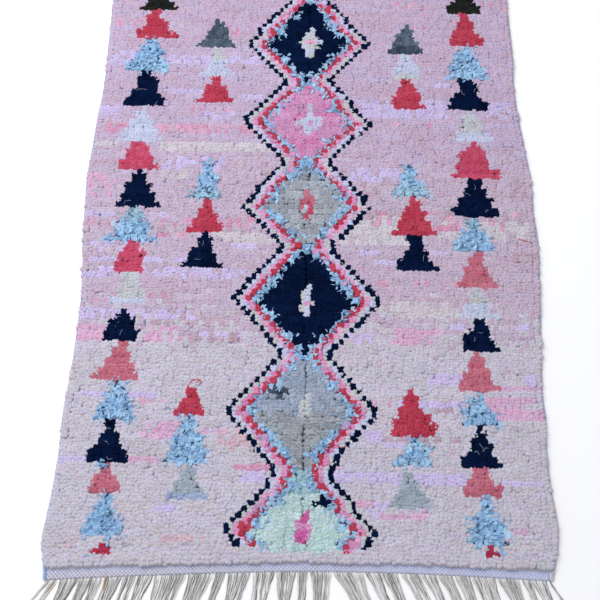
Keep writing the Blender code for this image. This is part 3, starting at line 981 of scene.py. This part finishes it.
# Cotton weft beaten down over the warp in plain weave: dull, with a grain at the thread's spacing
WEFT = YarnFinish("plain-weave cotton band", roughness=0.9, specular=0.2, sheen=0.15, fibre_pitch=2.4,
                  fibre_contrast=0.25, fibre_relief=0.4)
# Two-ply undyed cotton: smooth and pale, its plies showing as slanting ridges
WARP = YarnFinish("plied cotton warp", roughness=0.8, specular=0.3, sheen=0.15, fibre_pitch=1.4,
                  fibre_contrast=0.2, fibre_relief=0.35)


# The pile


class Knot(NamedTuple):
    """One tied knot: where its root is, in mm, how it is turned and grown, its shape and its colour."""

    x: float
    y: float
    turn: tuple[float, float, float]
    grow: tuple[float, float, float]
    pick: int
    dye: Rgb


# Names of the pile's pieces, with the yarns tied in each; the ground takes the rest in lengths
DESIGN_PIECES = (
    ("pile_navy", (Yarn.NAVY, Yarn.GREEN, Yarn.CHARCOAL)),
    ("pile_red", (Yarn.RED, Yarn.BERRY, Yarn.CORAL, Yarn.WINE)),
    ("pile_rag", (Yarn.SKY, Yarn.DUSTY_SKY)),
    ("pile_white", (Yarn.WHITE, Yarn.CREAM, Yarn.BORDER_PINK, Yarn.MAGENTA, Yarn.DOVE, Yarn.HAZE)),
    ("pile_diamond_fields", (Yarn.CARNATION, Yarn.HEATHER, Yarn.SLATE, Yarn.PEWTER, Yarn.MINT, Yarn.TEAL)),
)


@dataclass
class Pile:
    """Every knot of the field, tied row by row from the fringe and joined into pieces by yarn."""

    seed: int = 21
    wool_shapes: int = 16
    rag_shapes: int = 14
    ground_lengths: int = 4
    root_place: float = 0.93
    first_row_back: float = 6.5
    root_depth: float = 0.3
    shape_width: float = 13.1
    width_spread: tuple[float, float] = (0.98, 1.1)
    length_spread: tuple[float, float] = (0.94, 1.14)
    height_spread: float = 0.06
    lean: tuple[float, float] = (0.07, 0.1)
    wool_swing: float = 0.15
    edge_swing: float = 0.34
    rag_swing: float = 0.5
    edge_turn: float = 0.32
    rim_turn: float = 0.25
    rim_height: float = 0.9
    stray: tuple[float, float] = (0.7, 0.8)
    yarn_run: int = 6
    wander: float = 0.8
    wander_reach: float = 41.0
    parting_turn: float = 0.4
    parting_reach: float = 30.0
    parting_fade: float = 40.0
    parting_gap: float = 6.0
    grey_length: float = 0.84
    pieces: list[bpy.types.Object] = field(default_factory=list)

    def shape_collection(self, stock: Stock) -> bpy.types.Collection:
        """Collection of the guide shapes that the knots of one stock are picked from.

        Args:
            stock: What the knots are tied from.

        Returns:
            The shapes, out of the scene.
        """
        shape = WoolKnot() if stock is Stock.WOOL else RagKnot()
        collection = bpy.data.collections.new(f"shapes {stock.value}")
        for index in range(self.wool_shapes if stock is Stock.WOOL else self.rag_shapes):
            bm = bmesh.new()
            shape.build(bm, random.Random(self.seed * 100 + index))
            guide = new_piece(f"shape_{stock.name}_{index:02d}", bm, None)
            bpy.context.scene.collection.objects.unlink(guide)
            collection.objects.link(guide)
        return collection

    def tie(self, row: int, place: int, yarn: Yarn, splay: float) -> Knot:
        """One knot of the given yarn, with the weaver's small unevenness.

        Args:
            row: Its row, counted from the fringe.
            place: Its place in the row, counted from the left.
            yarn: What it is tied from.
            splay: How far it leans out at its figure's edge, in radians, positive to the right.

        Returns:
            The knot.
        """
        chance = CHART.luck(row, place, 31)
        run_chance = CHART.luck(row, place // self.yarn_run, 32)
        x, y = PLAN.field_spot((place + 0.5) / PLAN.knots, row + self.root_place)
        pitch = (PLAN.cloth_edge(1, y) - PLAN.cloth_edge(-1, y)) / PLAN.knots
        rag = yarn.value.stock is Stock.RAG
        swing = self.rag_swing if rag else (self.edge_swing if splay else self.wool_swing)
        rim = self.rim_turn if place == 0 else (-self.rim_turn if place == PLAN.knots - 1 else 0.0)
        parted = self.parting(x, y, row, place, pitch)
        turn = (chance.gauss(0, self.lean[0]), chance.gauss(0, self.lean[1]),
                chance.gauss(0, swing) - rim + splay + parted)
        tall = chance.gauss(1.0, self.height_spread) * (self.rim_height if rim else 1.0)
        short = self.grey_length if yarn in (Yarn.HEATHER, Yarn.PEWTER) else 1.0
        wide = pitch / self.shape_width * chance.uniform(*self.width_spread)
        long = short * chance.uniform(*self.length_spread)
        shade = blend_rgb(yarn.value.draw(run_chance), yarn.value.draw(chance), 0.5)
        shapes = self.rag_shapes if rag else self.wool_shapes
        set_back = max(0.0, self.first_row_back * (1.0 - row / 2))
        sway = self.wander * math.sin(x / self.wander_reach + CHART.luck(row, 33).uniform(0, math.tau))
        x += self.parting_gap * parted + chance.gauss(0, self.stray[0])
        return Knot(x, y + set_back + sway + chance.gauss(0, self.stray[1]), turn, (wide, long, tall),
                    chance.randrange(shapes), shade)

    def edge_splay(self, yarns: list[Yarn], place: int) -> float:
        """How far a figure's outermost knots lean out over the next yarn, in radians.

        Args:
            yarns: The row's yarns.
            place: The knot's place in the row.

        Returns:
            The turn, positive to the right.
        """
        left_out = place > 0 and yarns[place - 1] is not yarns[place]
        right_out = place < PLAN.knots - 1 and yarns[place + 1] is not yarns[place]
        return self.edge_turn * (right_out - left_out)

    def parting(self, x: float, y: float, row: int, place: int, pitch: float) -> float:
        """Extra turn of the knots beside a diamond's upright middle line, which part to both sides.

        Args:
            x: Place across the rug, in mm.
            y: Place along the rug, in mm.
            row: The knot's row, counted from the fringe.
            place: Its place in the row.
            pitch: Width of one knot, in mm.

        Returns:
            The turn in radians.
        """
        off = x - CHART.chain_middle
        if abs(off) > self.parting_reach or abs(off) < 1:
            return 0.0
        yarn = CHART.medallion_yarn(x, y, row, place, pitch)
        inside = yarn in (Yarn.HEATHER, Yarn.SLATE, Yarn.PEWTER, Yarn.NAVY, Yarn.MINT)
        turned = self.parting_turn * (1 - abs(off) / self.parting_fade)
        return math.copysign(turned, off) if inside else 0.0

    def scatter(self, name: str, knots: list[Knot], shapes: bpy.types.Collection,
                material: bpy.types.Material) -> bpy.types.Object:
        """Join a shape at every knot's root into one mesh.

        Args:
            name: The piece's name.
            knots: The knots.
            shapes: Guide shapes to pick from.
            material: Finish of the yarn.

        Returns:
            The piece, with a colour on each point.
        """
        bm = bmesh.new()
        layers = bm.verts.layers
        pick = layers.int.new("pick")
        turn, grow = layers.float_vector.new("turn"), layers.float_vector.new("grow")
        dye = layers.float_color.new(DYE_LAYER)
        for knot in knots:
            vert = bm.verts.new(PLAN.spot(knot.x, knot.y, PLAN.weave_top * self.root_depth))
            vert[pick], vert[turn], vert[grow], vert[dye] = knot.pick, knot.turn, knot.grow, (*knot.dye, 1.0)
        obj = new_piece(name, bm, None)
        modifier = obj.modifiers.new("knots", "NODES")
        modifier.node_group = self.knot_nodes(name, shapes)
        depsgraph = bpy.context.evaluated_depsgraph_get()
        mesh = bpy.data.meshes.new_from_object(obj.evaluated_get(depsgraph), preserve_all_data_layers=True,
                                               depsgraph=depsgraph)
        mesh.name = name
        obj.modifiers.clear()
        obj.data = mesh
        for used in ("pick", "turn", "grow"):
            if used in mesh.attributes:
                mesh.attributes.remove(mesh.attributes[used])
        mesh.materials.clear()
        mesh.materials.append(material)
        return obj

    def knot_nodes(self, name: str, shapes: bpy.types.Collection) -> bpy.types.NodeTree:
        """Node group that sets one of the shapes at each point and makes it real.

        Args:
            name: The piece's name.
            shapes: Guide shapes to pick from.

        Returns:
            The node group.
        """
        tree = bpy.data.node_groups.new(f"{name} knots", "GeometryNodeTree")
        tree.interface.new_socket("Geometry", in_out="INPUT", socket_type="NodeSocketGeometry")
        tree.interface.new_socket("Geometry", in_out="OUTPUT", socket_type="NodeSocketGeometry")
        points = add_node(tree, "NodeGroupInput").outputs[0]
        guides = add_node(tree, "GeometryNodeCollectionInfo", inputs={
            "Collection": shapes, "Separate Children": True, "Reset Children": True}).outputs[0]
        read = {}
        for attribute, kind in (("pick", "INT"), ("turn", "FLOAT_VECTOR"), ("grow", "FLOAT_VECTOR")):
            node = add_node(tree, "GeometryNodeInputNamedAttribute", {"data_type": kind}, {"Name": attribute})
            read[attribute] = node.outputs["Attribute"]
        placed = add_node(tree, "GeometryNodeInstanceOnPoints", inputs={
            "Points": points, "Instance": guides, "Pick Instance": True, "Instance Index": read["pick"],
            "Rotation": read["turn"], "Scale": read["grow"]}).outputs[0]
        real = add_node(tree, "GeometryNodeRealizeInstances", inputs={"Geometry": placed}).outputs[0]
        add_node(tree, "NodeGroupOutput", inputs={0: real})
        return tree

    def build(self) -> list[bpy.types.Object]:
        """Tie every knot and join them into pieces.

        Returns:
            The pieces of the pile.
        """
        names = {yarn: name for name, yarns in DESIGN_PIECES for yarn in yarns}
        sorted_knots: dict[str, list[Knot]] = {}
        for row in range(PLAN.rows):
            yarns = [CHART.yarn(row, place_in_row) for place_in_row in range(PLAN.knots)]
            length = row * self.ground_lengths // PLAN.rows
            for place_in_row, yarn in enumerate(yarns):
                name = names.get(yarn, f"pile_ground_{length + 1}")
                splay = self.edge_splay(yarns, place_in_row) if yarn in names else 0.0
                sorted_knots.setdefault(name, []).append(self.tie(row, place_in_row, yarn, splay))
        shapes = {stock: self.shape_collection(stock) for stock in Stock}
        wool = WOOL.material()
        finishes = {"pile_rag": RAG.material(), "pile_diamond_fields": HEATHERED.material(),
                    "pile_navy": INDIGO.material()}
        for name in sorted(sorted_knots):
            stock = Stock.RAG if name == "pile_rag" else Stock.WOOL
            piece = self.scatter(name, sorted_knots[name], shapes[stock], finishes.get(name, wool))
            if stock is Stock.RAG:
                piece.data.shade_flat()
            else:
                piece.data.shade_smooth()
            self.pieces.append(piece)
        for collection in shapes.values():
            for guide in list(collection.objects):
                bpy.data.objects.remove(guide)
            bpy.data.collections.remove(collection)
        for group in list(bpy.data.node_groups):
            bpy.data.node_groups.remove(group)
        for piece in self.pieces:
            place(piece, "pile_field", "pile_wool")
        return self.pieces


@dataclass
class GroundWeave:
    """The weave that the knots are tied in, whose underside shows the colour of each knot."""

    base: float = 0.3
    halvings: int = 14

    def build(self) -> bpy.types.Object:
        """Build the weave as one thin closed sheet, a cell to each knot.

        Returns:
            The weave.
        """
        bm = bmesh.new()
        dye = bm.loops.layers.float_color.new(DYE_LAYER)
        grid = bmesh.ops.create_grid(bm, x_segments=PLAN.knots, y_segments=PLAN.rows, size=1.0)["verts"]
        for vert in grid:
            share = (vert.co.x + 1.0) / 2.0
            rows_up = (vert.co.y + 1.0) / 2.0 * PLAN.rows
            x, y = PLAN.field_spot(share, rows_up)
            vert.co = Vector((x, y, 0.0))
        for face in bm.faces:
            middle = face.calc_center_median()
            row = min(max(int(self.row_of(middle)), 0), PLAN.rows - 1)
            left, right = PLAN.cloth_edge(-1, middle.y), PLAN.cloth_edge(1, middle.y)
            knot = min(max(int((middle.x - left) / (right - left) * PLAN.knots), 0), PLAN.knots - 1)
            shade = CHART.yarn(row, knot).value.draw(CHART.luck(row, knot, 32))
            for loop in face.loops:
                loop[dye] = (*shade, 1.0)
        top = bmesh.ops.extrude_face_region(bm, geom=bm.faces[:])["geom"]
        for vert in top:
            if isinstance(vert, bmesh.types.BMVert):
                vert.co.z = PLAN.weave_top
        for vert in bm.verts:
            vert.co = PLAN.spot(vert.co.x, vert.co.y, max(vert.co.z, self.base))
        weave = new_piece("ground_weave", bm, WEFT.material())
        place(weave, "pile_field", "pile_wool")
        return weave

    def row_of(self, middle: Vector) -> float:
        """Row of knots that a point of the field belongs to, found back through the near end's bow.

        Args:
            middle: The point, in mm.

        Returns:
            The row, with its part.
        """
        low, high = 0.0, float(PLAN.rows)
        for _ in range(self.halvings):
            half = (low + high) / 2
            y = PLAN.bowed(middle.x, PLAN.pile_near_end + half * PLAN.row_pitch)
            low, high = (half, high) if y < middle.y else (low, half)
        return low


# Edges and ends


@dataclass
class Selvedge:
    """One long edge: warps under a yarn that is wrapped round and round them."""

    side: int
    name: str
    node: str
    dyes: tuple[Dye, ...]
    wrap_pitch: float = 4.6
    steps_per_wrap: int = 7
    yarn_sides: int = 5
    yarn_wide: float = 2.15
    yarn_thick: float = 1.25
    wrap_half_width: float = 3.2
    wrap_half_height: float = 2.0
    run_of_wraps: int = 14
    swell: tuple[float, float] = (0.88, 1.1)
    clearance: float = 0.1
    core_height: float = 3.35
    core_half_width: float = 2.6
    core_half_height: float = 1.5
    core_steps: int = 70

    def middle(self, y: float) -> Vector:
        """Middle of the edge's warps at y."""
        inset = self.wrap_half_width + self.yarn_thick + self.clearance
        return Vector((PLAN.outer_edge(self.side, y) - self.side * inset, y, self.core_height))

    def build(self) -> bpy.types.Object:
        """Build the warps and the yarn wrapped over them.

        Returns:
            The edge.
        """
        chance = random.Random(70 + self.side)
        bm = bmesh.new()
        bm.verts.layers.float_color.new(DYE_LAYER)
        start = PLAN.near_root.at(PLAN.outer_edge(self.side, 0.0)) + 3.0
        length = PLAN.far_hem - 2.0 - start
        wraps = int(length / self.wrap_pitch)
        steps = wraps * self.steps_per_wrap
        rings, dyes = [], []
        dye = self.dyes[0]
        swell = 1.0
        for step in range(steps + 1):
            wrap, part = divmod(step, self.steps_per_wrap)
            if part == 0:
                swell = chance.uniform(*self.swell)
                if wrap % self.run_of_wraps == 0:
                    dye = chance.choice(self.dyes)
                colour = dye.draw(chance)
            angle = -self.side * math.tau * step / self.steps_per_wrap
            middle = self.middle(start + length * step / steps)
            around = Vector((math.cos(angle) * self.wrap_half_width * swell, 0.0,
                             math.sin(angle) * self.wrap_half_height * swell))
            ends = 0.0 if step in (0, steps) else 1.0
            rings.append(Ring(middle + around, self.yarn_thick * ends, self.yarn_wide * ends))
            dyes.append(colour)
        self.sweep_flat(bm, rings, dyes)
        dark = self.dyes[0].draw(chance)
        core = []
        for i in range(self.core_steps + 1):
            ends = 0.0 if i in (0, self.core_steps) else 1.0
            spot = self.middle(start + length * i / self.core_steps)
            core.append(Ring(spot, self.core_half_width * ends, self.core_half_height * ends))
        sweep_yarn(bm, core, 6, [dark] * len(core))
        for vert in bm.verts:
            vert.co = PLAN.spot(*(vert.co / MM))
        obj = new_piece(self.name, bm, OVERCAST.material())
        place(obj, self.node, "overcast_yarn")
        return obj

    def sweep_flat(self, bm: bmesh.types.BMesh, rings: list[Ring], dyes: list[Rgb]) -> None:
        """Sweep the wrapped yarn with its flat side on the warps, whichever way it runs.

        Args:
            bm: Mesh to add it to.
            rings: Sections in order, in mm.
            dyes: Colour of the yarn at each ring.
        """
        last = len(rings) - 1
        along = Vector((0.0, 1.0, 0.0))
        crosses = []
        for step in range(last + 1):
            ahead = rings[min(step + 1, last)].spot - rings[max(step - 1, 0)].spot
            crosses.append((Vector((ahead.x, 0.0, ahead.z)).normalized().cross(along), along))
        roll_up(bm, rings, crosses, self.yarn_sides, dyes)


class End(Enum):
    """The rug's two ends."""

    NEAR = "fringed"
    FAR = "hemmed"


@dataclass
class WovenBand:
    """The plain-woven band past the first or last row of knots."""

    end: End
    name: str
    node: str
    weft: Dye
    # Darker dye of every other cell: painted shade in the dips between the weave's crossings
    painted_shade_weft: Dye
    edge_weft: Dye
    cells: int = 250
    picks: int = 6
    blue_start: float = 2.0
    blue_picks: float = 4.0
    blue_drift: float = 0.6
    most_blue: float = 0.75
    height: float = 2.7
    relief: float = 0.35
    pick_stray: float = 0.3
    edge_height: float = 2.0
    base: float = 0.5
    tuck: float = 6.0
    root_lift: float = 3.0

    def limits(self, share: float) -> tuple[float, float, float]:
        """X, and the lowest and highest y, of the band at a share of its width.

        Args:
            share: Share of the way from the left edge to the right one.

        Returns:
            X, low y and high y, in mm.
        """
        if self.end is End.NEAR:
            x = PLAN.across(share, 0.0)
            return x, PLAN.near_root.at(x) + self.root_lift, PLAN.near_pile.at(x) + self.tuck
        return PLAN.across(share, PLAN.far_hem), PLAN.pile_far_end - self.tuck, PLAN.far_hem

    def build(self) -> bpy.types.Object:
        """Build the band as a thin closed sheet, chequered where warp and weft cross, its darker cells
        painted shade.

        Returns:
            The band.
        """
        chance = random.Random(90)
        bm = bmesh.new()
        layer = bm.loops.layers.float_color.new(DYE_LAYER)
        bmesh.ops.create_grid(bm, x_segments=self.cells, y_segments=self.picks, size=1.0)
        top = bmesh.ops.extrude_face_region(bm, geom=bm.faces[:])["geom"]
        tops = {vert for vert in top if isinstance(vert, bmesh.types.BMVert)}
        for face in bm.faces:
            middle = face.calc_center_median()
            cell = int((middle.x + 1.0) / 2.0 * self.cells)
            pick = int((middle.y + 1.0) / 2.0 * self.picks)
            # Every other cell takes the darker dye, painted shade between the weave's crossings
            plain = (self.weft if (cell + pick) % 2 else self.painted_shade_weft).draw(chance)
            blue = max((pick - self.blue_start) / self.blue_picks, 0.0) + self.blue_drift * cell / self.cells
            blue = min(blue, self.most_blue)
            shade = blend_rgb(plain, self.edge_weft.draw(chance), blue * chance.uniform(0.5, 1.0))
            for loop in face.loops:
                loop[layer] = (*shade, 1.0)
        for vert in bm.verts:
            cell = round((vert.co.x + 1.0) / 2.0 * self.cells)
            pick = round((vert.co.y + 1.0) / 2.0 * self.picks)
            x, low, high = self.limits(cell / self.cells)
            y = blend(low, high, pick / self.picks) + chance.uniform(-self.pick_stray, self.pick_stray)
            z = self.height + chance.uniform(-self.relief, self.relief) if vert in tops else self.base
            edge = pick in (0, self.picks) or cell in (0, self.cells)
            vert.co = PLAN.spot(x, y, min(z, self.edge_height) if edge else z)
        band = new_piece(self.name, bm, WEFT.material())
        place(band, self.node, "woven_band")
        return band


@dataclass
class Fringe:
    """The warp ends past the near band, resting level in the locks that they have worked into."""

    seed: int = 11
    strands: int = 240
    second_yarn: float = 0.55
    bunch: int = 4
    bunch_closing: float = 0.3
    length: float = 98.0
    length_spread: float = 9.0
    closing: tuple[float, float] = (0.32, 0.42)
    steps: int = 12
    half_width: float = 1.75
    half_thickness: float = 1.2
    twist: float = 100.0
    root_lift: float = 3.0
    root_stray: float = 0.25
    fatness: tuple[float, float] = (0.75, 1.2)
    tip_thinning: float = 0.85
    cross: float = 3.0
    wave: tuple[float, float] = (0.3, 1.6)
    wave_turns: tuple[float, float] = (1.2, 2.6)
    layers: tuple[float, ...] = (0.0, 0.0, 0.8, 1.6)
    top_levels: tuple[float, float] = (1.9, 2.2)
    under_levels: tuple[float, float] = (0.8, 1.4)
    floor_gap: float = 0.15
    warp: Dye = Dye(("#cfcdcc", "#bdbbba", "#dddcdb", "#a9a7a6", "#e6e5e6"), depth=0.1)
    # Darker dye for the yarns that lie under the top ones: painted shade between and beneath the top strands
    painted_shade_under_warp: Dye = Dye(("#8f8d8c", "#7b7978", "#a5a3a2"), depth=0.15)
    ochre: Dye = Dye(("#b5893c",))
    ochre_roots: tuple[float, ...] = (-567.0, -449.0)
    ochre_steps: int = 3

    def locks(self, left: float, pitch: float) -> list[tuple[int, float, float]]:
        """For each strand: its lock, and its place from the middles of that lock and of its bunch.

        Args:
            left: X of the cloth's left edge, in mm.
            pitch: Spacing of the strands, in mm.

        Returns:
            Lock, place in the lock and place in the bunch, for each strand.
        """
        ends = [end for end, _ in FRINGE_LOCKS]
        locks = [bisect_left(ends, left + (strand + 0.5) * pitch) for strand in range(self.strands)]
        places = []
        for strand, lock in enumerate(locks):
            member, size = strand - locks.index(lock), locks.count(lock)
            bunches = max(1, round(size / self.bunch))
            share = (member + 0.5) / size * bunches
            from_bunch = (share - int(share) - 0.5) * size / bunches
            places.append((lock, member - (size - 1) / 2, from_bunch))
        return places

    def route(self, root_x: float, lock: int, from_middle: float, from_bunch: float, pitch: float,
              on_top: bool, chance: random.Random) -> list[Vector]:
        """Spots that one yarn runs through, from under the band to its cut end.

        Args:
            root_x: X of its root, in mm.
            lock: The lock that it has worked into.
            from_middle: Its place from the lock's middle, in strands.
            from_bunch: Its place from the bunch's middle, in strands.
            pitch: Spacing of the strands, in mm.
            on_top: Whether it lies over the others.
            chance: The chances that vary it.

        Returns:
            The spots, in mm.
        """
        lock_chance = random.Random(self.seed * 100 + lock)
        closing = -from_middle * pitch * lock_chance.uniform(*self.closing)
        closing -= from_bunch * pitch * self.bunch_closing
        reach = self.length + lock_chance.uniform(-self.length_spread, self.length_spread)
        reach += chance.uniform(-self.length_spread, self.length_spread) / 2
        lean = FRINGE_LOCKS[lock][1] * reach / self.length
        cross = chance.gauss(0, self.cross)
        wave, phase = chance.uniform(*self.wave), chance.uniform(0, math.tau)
        turns = chance.uniform(*self.wave_turns)
        layer = chance.choice(self.layers) if on_top else 0.0
        low, high = self.top_levels if on_top else self.under_levels
        root_y = PLAN.near_root.at(root_x) + self.root_lift
        spots = [Vector((root_x, root_y + 5.0, 1.6))]
        for step in range(1, self.steps + 1):
            t = step / self.steps
            bend = 1.0 - (1.0 - t) ** 2
            weave = wave * math.sin(turns * math.tau * t + phase) * min(1.0, 3 * t)
            hump = math.sin(math.pi * min(1.0, t * 1.05)) * layer
            z = blend(high, low, min(1.0, 3 * t)) + max(0.0, hump)
            side = lean * t + (closing + cross * t) * bend + weave
            spots.append(Vector((root_x + side, root_y - reach * t, z)))
        return spots

    def build(self) -> bpy.types.Object:
        """Build every yarn of the fringe.

        Returns:
            The fringe.
        """
        chance = random.Random(self.seed * 7)
        left, right = (PLAN.cloth_edge(side, PLAN.near_root.at(PLAN.cloth_edge(side, 0.0)))
                       for side in (-1, 1))
        pitch = (right - left) / self.strands
        bm = bmesh.new()
        bm.verts.layers.float_color.new(DYE_LAYER)
        for strand, (lock, from_middle, from_bunch) in enumerate(self.locks(left, pitch)):
            for on_top in (True, False):
                if not on_top and chance.random() > self.second_yarn:
                    continue
                root_x = left + pitch * (strand + (0.5 if on_top else 0.9)
                                          + chance.uniform(-self.root_stray, self.root_stray))
                spots = self.route(root_x, lock, from_middle, from_bunch, pitch, on_top, chance)
                fat = chance.uniform(*self.fatness)
                # Yarns under the top layer take the darker dye, painted shade cast by the strands over them
                shade = (self.warp if on_top else self.painted_shade_under_warp).draw(chance)
                dyed = on_top and any(abs(root_x - place) < pitch / 2 for place in self.ochre_roots)
                rings, dyes = [], []
                for step, spot in enumerate(spots):
                    thin = fat * blend(1.0, self.tip_thinning, step / self.steps)
                    ends = 0.0 if step in (0, len(spots) - 1) else 1.0
                    rings.append(Ring(spot, self.half_width * thin * ends, self.half_thickness * thin * ends,
                                      self.twist * step))
                    dyes.append(self.ochre.draw(chance) if dyed and step <= self.ochre_steps else shade)
                sweep_yarn(bm, rings, 4, dyes)
        for vert in bm.verts:
            x, y, z = vert.co / MM
            vert.co = PLAN.spot(x, y, max(z, self.floor_gap))
        obj = new_piece("fringe", bm, WARP.material())
        place(obj, "near_band_fringe", "woven_band")
        return obj


class Thread(NamedTuple):
    """A loose thread: its spots in mm, half thickness and colour."""

    spots: tuple[tuple[float, float, float], ...]
    half: float
    colour: str


@dataclass
class LooseThreads:
    """Ends that have worked out of the pile and lie on it."""

    threads: tuple[Thread, ...] = (
        Thread(((571, 884, 14), (580, 881, 18),
                (590, 878, 18), (600, 875, 17), (612, 873, 16), (617, 872, 12)),
               1.0, "#b8283a"),
        Thread(((-282, 452, 14), (-284, 462, 18), (-276, 472, 18), (-264, 474, 17), (-254, 468, 16),
                (-258, 458, 13)), 1.3, "#c23e58"),
        Thread(((-270, 455, 14), (-268, 464, 18), (-262, 468, 18), (-256, 476, 15)), 1.3, "#c23e58"),
        Thread(((78, 300, 14), (88, 308, 18), (100, 303, 18), (112, 309, 17), (116, 305, 13)),
               0.8, "#b8446a"),
        Thread(((95, 809, 14), (101, 803, 18), (107, 797, 17.5), (109, 791, 13)), 0.9, "#c9b98a"),
        Thread(((137, 757, 14), (143, 750, 18), (149, 744, 17), (150, 738, 13)), 0.9, "#c9b98a"),
        Thread(((-459, 50, 14), (-460, 44, 18), (-461, 38, 17.5), (-464, 32, 17), (-465, 28, 14)),
               0.9, "#d06a90"),
    )
    fibre_colour: str = "#c9cfe0"
    fibre_half: float = 0.3
    fibres: int = 26
    fibre_pieces: int = 5
    fibre_step: float = 4.5
    fibre_height: float = 16.5

    def build(self) -> bpy.types.Object:
        """Build the threads and the fine pale fibres caught on the navy pile.

        Returns:
            The threads.
        """
        bm = bmesh.new()
        bm.verts.layers.float_color.new(DYE_LAYER)
        for thread in self.threads:
            self.lay(bm, [Vector(spot) for spot in thread.spots], thread.half, linear(thread.colour))
        chance = random.Random(3)
        navy = [tree for tree in LEFT_OUTER + RIGHT_OUTER + INNER if tree.yarn is Yarn.NAVY]
        for _ in range(self.fibres):
            tree = chance.choice(navy)
            share = chance.uniform(0.1, 0.75)
            half = blend(tree.width / 2, 8, share) * 0.7
            spot = Vector((tree.x + chance.uniform(-half, half), tree.foot + share * tree.height,
                           self.fibre_height))
            angle = chance.uniform(0, math.tau)
            spots = [spot.copy()]
            for _ in range(self.fibre_pieces):
                angle += chance.uniform(-0.9, 0.9)
                ahead = Vector((math.cos(angle), math.sin(angle), chance.uniform(-0.15, 0.15)))
                spot = spot + ahead * self.fibre_step
                spots.append(spot.copy())
            self.lay(bm, spots, self.fibre_half, linear(self.fibre_colour))
        for vert in bm.verts:
            vert.co = PLAN.spot(*(vert.co / MM))
        obj = new_piece("loose_threads", bm, WARP.material())
        place(obj, "pile_field", "pile_wool")
        return obj

    def lay(self, bm: bmesh.types.BMesh, spots: list[Vector], half: float, colour: Rgb) -> None:
        """Sweep one thread through its spots.

        Args:
            bm: Mesh to add it to.
            spots: Spots in order, in mm.
            half: Half its thickness, in mm.
            colour: Its colour.
        """
        last = len(spots) - 1
        rings = [Ring(spot, 0.0 if i in (0, last) else half, 0.0 if i in (0, last) else half)
                 for i, spot in enumerate(spots)]
        sweep_yarn(bm, rings, 4, [colour] * len(rings))


# Room


@dataclass
class Studio:
    """White floor, soft light from all round and above, and the camera where the photographer stood."""

    floor_size: float = 14.0
    floor_drop: float = 0.2
    camera_spot: tuple[float, float, float] = (5.9, -208.0, 2196.0)
    camera_tilt: float = 22.5
    camera_turn: float = 0.93
    lens: float = 54.0
    sensor: float = 36.0
    sky: float = 0.72
    key_power: float = 95.0
    key_spot: tuple[float, float, float] = (-1600.0, 1900.0, 3200.0)
    key_size: float = 2.6

    def build(self) -> None:
        """Build the floor, the lights and the camera."""
        scene = bpy.context.scene
        bm = bmesh.new()
        bmesh.ops.create_grid(bm, x_segments=1, y_segments=1, size=self.floor_size / 2)
        bmesh.ops.translate(bm, verts=bm.verts[:], vec=Vector((0.0, 0.0, -self.floor_drop * MM)))
        floor = new_piece("floor", bm, FloorFinish().material())
        world = bpy.data.worlds.new("soft daylight")
        world.use_nodes = True
        world.node_tree.nodes["Background"].inputs["Color"].default_value = (0.97, 0.98, 1.0, 1.0)
        world.node_tree.nodes["Background"].inputs["Strength"].default_value = self.sky
        scene.world = world
        light = bpy.data.lights.new("key", "AREA")
        light.energy = self.key_power
        light.size = self.key_size
        key = bpy.data.objects.new("key", light)
        key.location = PLAN.spot(*self.key_spot)
        aim = PLAN.spot(0.0, 800.0, 0.0) - key.location
        key.rotation_euler = aim.to_track_quat("-Z", "Y").to_euler()
        scene.collection.objects.link(key)
        camera_data = bpy.data.cameras.new("camera")
        camera_data.lens = self.lens
        camera_data.sensor_width = self.sensor
        camera_data.clip_end = 40.0
        camera = bpy.data.objects.new("camera", camera_data)
        camera.location = PLAN.spot(*self.camera_spot)
        camera.rotation_euler = (math.radians(self.camera_tilt), 0.0, math.radians(self.camera_turn))
        scene.collection.objects.link(camera)
        scene.camera = camera
        scene.view_settings.view_transform = "Standard"


def main() -> None:
    """Build the rug piece by piece, then the room that it is seen in."""
    logging.basicConfig(level=logging.INFO, format="%(name)s: %(message)s")
    pile = Pile().build()
    weave = GroundWeave().build()
    threads = LooseThreads().build()
    lilac, ash, sky = Dye(("#c9bcdc", "#c4bad8")), Yarn.ASH.value, Dye(("#a9bdea", "#a3b8e6"))
    left = Selvedge(-1, "overcast_left", "selvedge_left", (sky, sky, lilac, ash)).build()
    right = Selvedge(1, "overcast_right", "selvedge_right", (ash, ash, sky, lilac)).build()
    # The second dye is the darker painted shade of the band's chequer cells
    wefts = Dye(("#cfcedd", "#c9c7da")), Dye(("#a19eac", "#a9a5b4")), Dye(("#a9bbea", "#b4c2ec"))
    near = WovenBand(End.NEAR, "near_band", "near_band_fringe", *wefts).build()
    far = WovenBand(End.FAR, "far_band_weave", "far_band", *wefts).build()
    fringe = Fringe().build()
    Studio().build()


if __name__ == "__main__":
    main()
